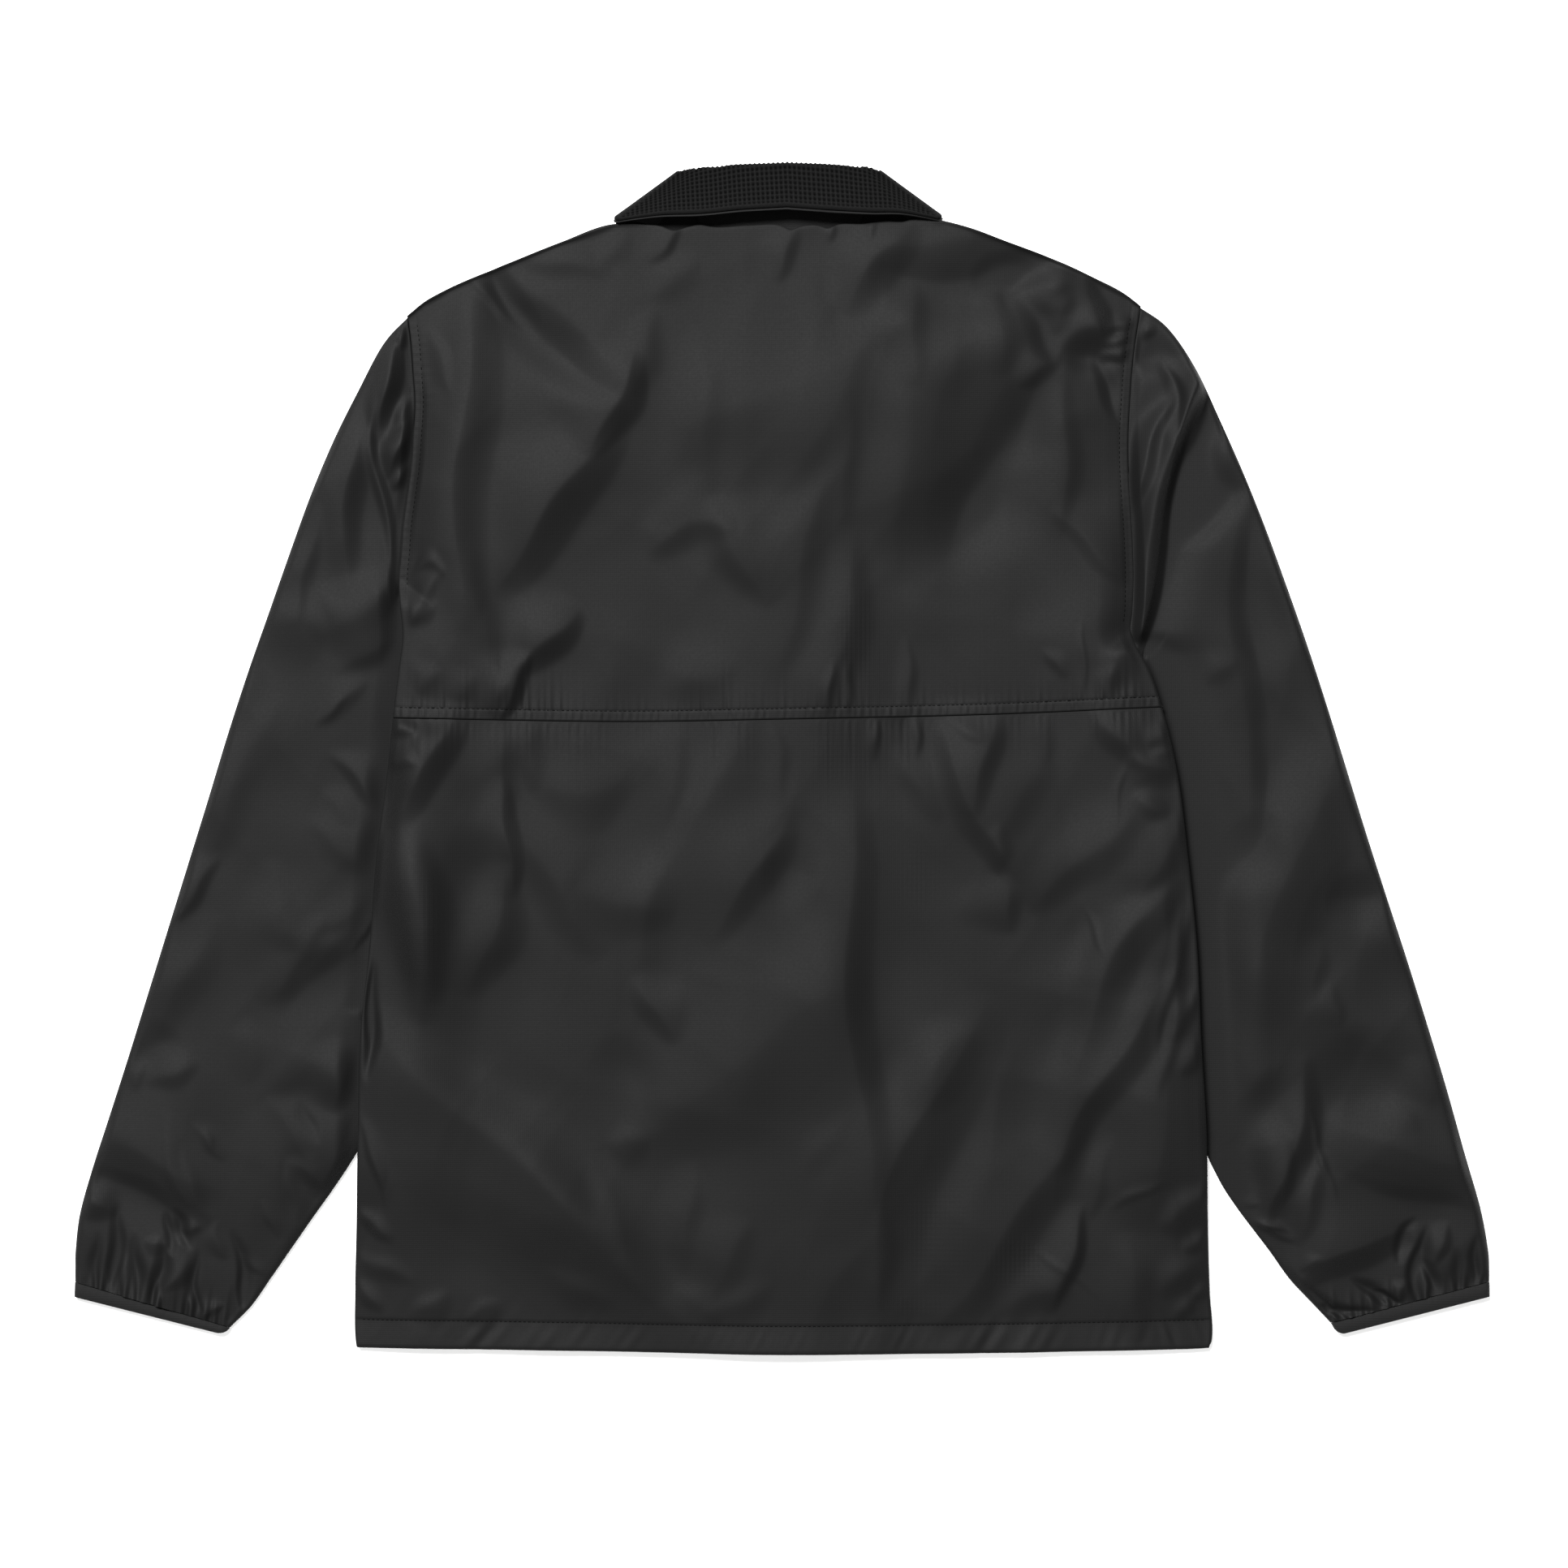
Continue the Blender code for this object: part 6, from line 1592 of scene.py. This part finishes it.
def collar_sheet(line, side, longer):
    """Middle of the collar's wall: a row for each section, from neck seam over roll to free edge."""
    roll = line[:, ROLL_XY]
    edge, neck = line[:, EDGE_XY] - roll, line[:, NECK_XY] - roll
    length = np.linalg.norm(edge, axis=-1, keepdims=True)
    lead = edge / length
    edge = edge + lead * longer
    outward = np.stack([lead[:, 1], -lead[:, 0]], axis=-1) * -side
    turn_by = np.radians(line[:, TURN])
    half = COLLAR_STACK / 2
    sunk = (1 - ease(line[:, TURN], 0.0, STAND_TURN)) * (1 - ease(np.abs(roll[:, 0]), *STAND_DIP_X))
    neck = neck - np.stack([np.zeros(len(line)), NECK_TUCK * sunk], axis=-1)
    rows = [(neck * share, COLLAR_STAND - STAND_DIP * sunk * share ** STAND_SHAPE, share)
            for share in np.linspace(1.0, 0.0, STAND_ROWS)]
    for angle in np.linspace(0.0, math.pi, ROLL_ROWS + 2)[1:-1]:
        rows.append((-lead * half * math.sin(angle),
                     np.full(len(line), COLLAR_STAND + half - half * math.cos(angle)), 0.0))
    for share in np.linspace(0.0, 1.0, FALL_ROWS):
        up = EDGE_UP * line[:, EDGE_LIFT] * share ** FALL_SHAPE
        rows.append((edge * share, COLLAR_STAND + COLLAR_STACK + up, share))
    sheet = []
    for offset, off, share in rows:
        tight = TURN_TIGHT[0] + (TURN_TIGHT[1] - TURN_TIGHT[0]) * share
        flat = roll + offset + outward * (tight * off * np.sin(turn_by))[:, None]
        sheet.append(np.column_stack([flat, COLLAR_MIDDLE + off * np.cos(turn_by)]))
    return np.stack(sheet, axis=1)


def whole_collar(longer):
    """The collar's wall from one front to the other; longer is added to its fall."""
    left, right = (collar_sheet(collar_line(t), s, longer) for t, s in ((COLLAR_LEFT, -1), (COLLAR_RIGHT, 1)))
    return np.concatenate([left[:0:-1], right], axis=0)


def sheet_normals(sheet):
    """Unit normals of a grid of points, towards the outside of the collar's roll."""
    normals = np.cross(np.gradient(sheet, axis=1), np.gradient(sheet, axis=0))
    normals = normals / np.maximum(np.linalg.norm(normals, axis=-1, keepdims=True), 1e-9)
    return -normals if normals[len(sheet) // 2, FALL_ROW, 2] < 0 else normals


print("steps along the collar:", len(collar_line(COLLAR_LEFT)) + len(collar_line(COLLAR_RIGHT)) - 1)

# %% Fleece of the collar
PIT_DEPTH = 1.1
PIT_START, PIT_FULL = 2.2, 4.2          # a plain selvedge along the free edge
PIT_TURN = 40.0                         # no pits past this turn, where nothing shows
PIT_COLUMN, PIT_ROW = 0.55, 0.5         # how wide the pits are, across and down; below 1, wider than the ribs
RIB_ROWS = (0.25, 0.75)                 # the pits run together down the columns by the first share
GRID_LEAN, GRID_LEAN_FROM = 0.05, 360.0
SELVEDGE_TONE = 0.4                      # the colour's haze is cut to this share right at the free edge, so the edge is darker
SELVEDGE_DROP, SELVEDGE_ROLL = 0.9, 1.6
FLEECE_OUT, FLEECE_IN = 1.15, 0.15      # faces of the fleece from the middle of the wall
FLEECE_STRIDE = 4

middle = whole_collar(0.0)
normals = sheet_normals(middle)
reach = np.cumsum(np.linalg.norm(np.diff(middle, axis=1, prepend=middle[:, :1]), axis=-1), axis=1)
from_free_edge = reach[:, -1:] - reach
lean = GRID_LEAN * (middle[..., 1] - GRID_LEAN_FROM)
column_wave, row_wave = (np.clip(0.5 + 0.5 * np.cos(2 * np.pi * place / pitch), 0, 1) for place, pitch in (
    (middle[..., 0] + lean, GRID_ACROSS), (from_free_edge, GRID_DOWN)))
pit = column_wave ** PIT_COLUMN * (RIB_ROWS[0] + RIB_ROWS[1] * row_wave ** PIT_ROW)
turned = np.concatenate([collar_line(COLLAR_LEFT)[:0:-1, TURN], collar_line(COLLAR_RIGHT)[:, TURN]])
pit = pit * ease(from_free_edge, PIT_START, PIT_FULL) * (1 - ease(turned, 0.0, PIT_TURN))[:, None]
at_edge = np.clip(1 - from_free_edge / SELVEDGE_ROLL, 0.0, 1.0)
edge_round = SELVEDGE_DROP * (1 - np.sqrt(1 - at_edge ** 2 * EDGE_STEEP))
face = middle + normals * (FLEECE_OUT - PIT_DEPTH * pit - edge_round)[..., None]
back = middle + normals * FLEECE_IN
collar_fleece = cloth_piece("collar_fleece", face, back, FLEECE_STRIDE, fleece)
# Painted shade: the colour is kept darker in the pits; it is also darker along the free edge.
pit_shade_and_edge_tone = np.zeros(len(collar_fleece.data.vertices))
pit_shade_and_edge_tone[:pit.size] = ((1 - pit) * (SELVEDGE_TONE + (1 - SELVEDGE_TONE)
                                   * ease(from_free_edge, 0.0, PIT_FULL))).ravel()
collar_fleece.data.attributes.new("pit_shade_and_edge_tone", "FLOAT", "POINT").data.foreach_set("value", pit_shade_and_edge_tone)
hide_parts("collar")

# %% Nylon of the collar
NYLON_OUT, NYLON_IN = -0.25, -1.15      # its faces from the middle of the wall
NYLON_PEEK = 1.3
NYLON_STRIDE = (3, 2)

lining = whole_collar(NYLON_PEEK)
lining_normals = sheet_normals(lining)
keep = np.ix_(*(every(count, stride) for count, stride in zip(lining.shape, NYLON_STRIDE)))
outside, inside = ((lining + lining_normals * out)[keep] for out in (NYLON_OUT, NYLON_IN))
collar_nylon = cloth_piece("collar_nylon", outside, inside, 1, nylon)

# %% [markdown]
# ## Stitches
# Every row of topstitching is a line of small thread grains, each a little rounded bar that dips into the
# cloth at both ends. They share one template and follow the height of the cloth they are sewn into.

# %% Stitch maker
STITCH_PITCH, STITCH_LENGTH, STITCH_WIDE = 3.1, 2.3, 0.36
# Each ring of a stitch: how far along it lies, how thick it is, and its dip
STITCH_RINGS = ((-0.5, 0.35, -0.28), (-0.3, 0.9, 0.0), (0.3, 0.9, 0.0), (0.5, 0.35, -0.28))
STITCH_SIDES = 6
STITCH_SUNK = -0.08


def stitch_row(name, path):
    """Thread grains along a path of points on the cloth."""
    run = np.concatenate([[0.0], np.cumsum(np.linalg.norm(np.diff(path, axis=0), axis=-1))])
    count = int(run[-1] // STITCH_PITCH)
    middles = (np.arange(count) + 0.5) * run[-1] / count
    points, faces = [], []
    turns = np.arange(STITCH_SIDES) * 2 * math.pi / STITCH_SIDES
    for at in middles:
        centre, ahead, behind = (np.array([np.interp(at + d, run, path[:, k]) for k in range(3)])
                                 for d in (0.0, STITCH_LENGTH / 2, -STITCH_LENGTH / 2))
        lead = (ahead - behind) / max(np.linalg.norm(ahead - behind), 1e-6)
        wide = np.cross((0.0, 0.0, 1.0), lead)
        wide /= np.linalg.norm(wide)
        up = np.cross(lead, wide)
        first = len(points)
        for step, thick, dip in STITCH_RINGS:
            ring = centre + lead * step * STITCH_LENGTH + up * (dip + STITCH_SUNK)
            points.extend(ring + STITCH_WIDE * thick * (wide * math.cos(t) + up * math.sin(t)) for t in turns)
        for ring in range(len(STITCH_RINGS) - 1):
            for k in range(STITCH_SIDES):
                a, b = first + ring * STITCH_SIDES + k, first + ring * STITCH_SIDES + (k + 1) % STITCH_SIDES
                faces.append((a, b, b + STITCH_SIDES, a + STITCH_SIDES))
        last = first + (len(STITCH_RINGS) - 1) * STITCH_SIDES
        faces.append(tuple(first + k for k in range(STITCH_SIDES))[::-1])
        faces.append(tuple(last + k for k in range(STITCH_SIDES)))
    piece = make_piece(name, points, faces, thread)
    print(name, count, "stitches")
    return piece


print("stitches in 10 cm:", round(100.0 / STITCH_PITCH))

# %% Stitches
PATH_STEP = 0.5
YOKE_ROW_ENDS, HEM_ROW_ENDS, HEM_ROW_POINTS = (-250.0, 244.0), (-275.0, 276.0), 560
ARMHOLE_ROWS = ((-1, "left", 112.0, 284.0), (1, "right", 88.0, 288.0))    # side, word, lowest and highest y

x = np.arange(*YOKE_ROW_ENDS, PATH_STEP)
y = seam_y(x) + ROW_FROM_SEAM
yoke_stitches = [stitch_row("yoke_topstitch", np.column_stack([x, y, yoke_height(x, y)]))]
for side, word, low_y, high_y in ARMHOLE_ROWS:
    y = np.arange(high_y, low_y, -PATH_STEP)
    x = side_x(y, side) - side * ROW_FROM_ARMHOLE
    yoke_stitches.append(stitch_row(f"armhole_topstitch_{word}", np.column_stack([x, y, yoke_height(x, y)])))
share = np.full(HEM_ROW_POINTS, HEM_STITCH)
x = np.linspace(*HEM_ROW_ENDS, HEM_ROW_POINTS)
hem_table = np.array(HEM)
y = seam_y(x) + (smooth_through(x, hem_table[:, 0], hem_table[:, 1]) - seam_y(x)) * HEM_STITCH
hem_stitches = [stitch_row("hem_topstitch", np.column_stack([x, y, lower_height(x, y, share)]))]

# %% [markdown]
# ## Snaps
# Six pressed caps close the front. They are turned like a shallow dish: a flat face with a rolled rim and a
# small ring. They lie between the front's edge and the table, so each is a simple turned shape.

# %% Snaps
SNAP_PROFILE = ((0.0, 0.30), (2.6, 0.22), (3.0, 0.10), (3.4, 0.10), (3.8, 0.05), (5.8, 0.06), (6.3, 0.25),
                (6.5, 0.60), (6.3, 0.95), (5.8, 1.15), (0.0, 1.20))
SNAP_TURNS = 40
SNAP_FIRST_Y, SNAP_PITCH, SNAP_COUNT = 140.0, 95.0, 6

for number in range(SNAP_COUNT):
    y = SNAP_FIRST_Y - SNAP_PITCH * number
    rings = [(r, h) for r, h in SNAP_PROFILE if r > 0]
    angles = np.arange(SNAP_TURNS) * 2 * math.pi / SNAP_TURNS
    points = [(r * math.cos(a), y + r * math.sin(a), h) for r, h in rings for a in angles]
    points += [(0.0, y, SNAP_PROFILE[0][1]), (0.0, y, SNAP_PROFILE[-1][1])]
    numbers = np.arange(len(rings) * SNAP_TURNS).reshape(len(rings), SNAP_TURNS)
    closed = np.concatenate([numbers, numbers[:, :1]], axis=1)
    faces = grid_faces(closed).tolist()
    for ring, tip in ((closed[0], len(points) - 2), (closed[-1], len(points) - 1)):
        faces += [(int(a), int(b), tip) for a, b in zip(ring, ring[1:])]
    snap = make_piece(f"snap_cap_{number + 1}", points, faces, lacquer)
    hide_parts(f"snap_{number + 1}")
print("snaps:", SNAP_COUNT)

# %% [markdown]
# ## Table
# A plain white table top, matt and pale. Its own light makes it so bright that the jacket stands out as a
# cut shape.

# %% Table
FLOOR_HALF, FLOOR_LEVEL = 4000.0, -0.4
card, tree, shader, place = new_finish("matt_white_card")
pulp = add(tree, "ShaderNodeTexNoise", {"Vector": place, "Scale": grains(3.0), "Detail": 3.0})
tint = add(tree, "ShaderNodeMix", {"Factor": pulp.outputs["Fac"], 6: to_linear("#f6f6f5"),
                                   7: to_linear("#fafafa")}, data_type="RGBA")
wire(tree, shader, {"Base Color": tint.outputs[2], "Roughness": 0.9, "Specular IOR Level": 0.1})
mesh = bpy.data.meshes.new("table_top")
half = FLOOR_HALF * MM
mesh.from_pydata([(-half, -half, 0), (half, -half, 0), (half, half, 0), (-half, half, 0)], [], [(0, 1, 2, 3)])
mesh.materials.append(card)
table_top = bpy.data.objects.new("table_top", mesh)
table_top.location.z = FLOOR_LEVEL * MM
scene.collection.objects.link(table_top)
lit_table.objects.link(table_top)
print("table level:", FLOOR_LEVEL, "mm")

# %% [markdown]
# ## Triangles
# The triangles that the scene adds are counted.

# %% Triangles
total = sum(len(p.vertices) - 2 for o in scene.objects if o.type == "MESH" and o.name not in frame["nodes"]
            for p in o.data.polygons)
print("triangles in all:", total)
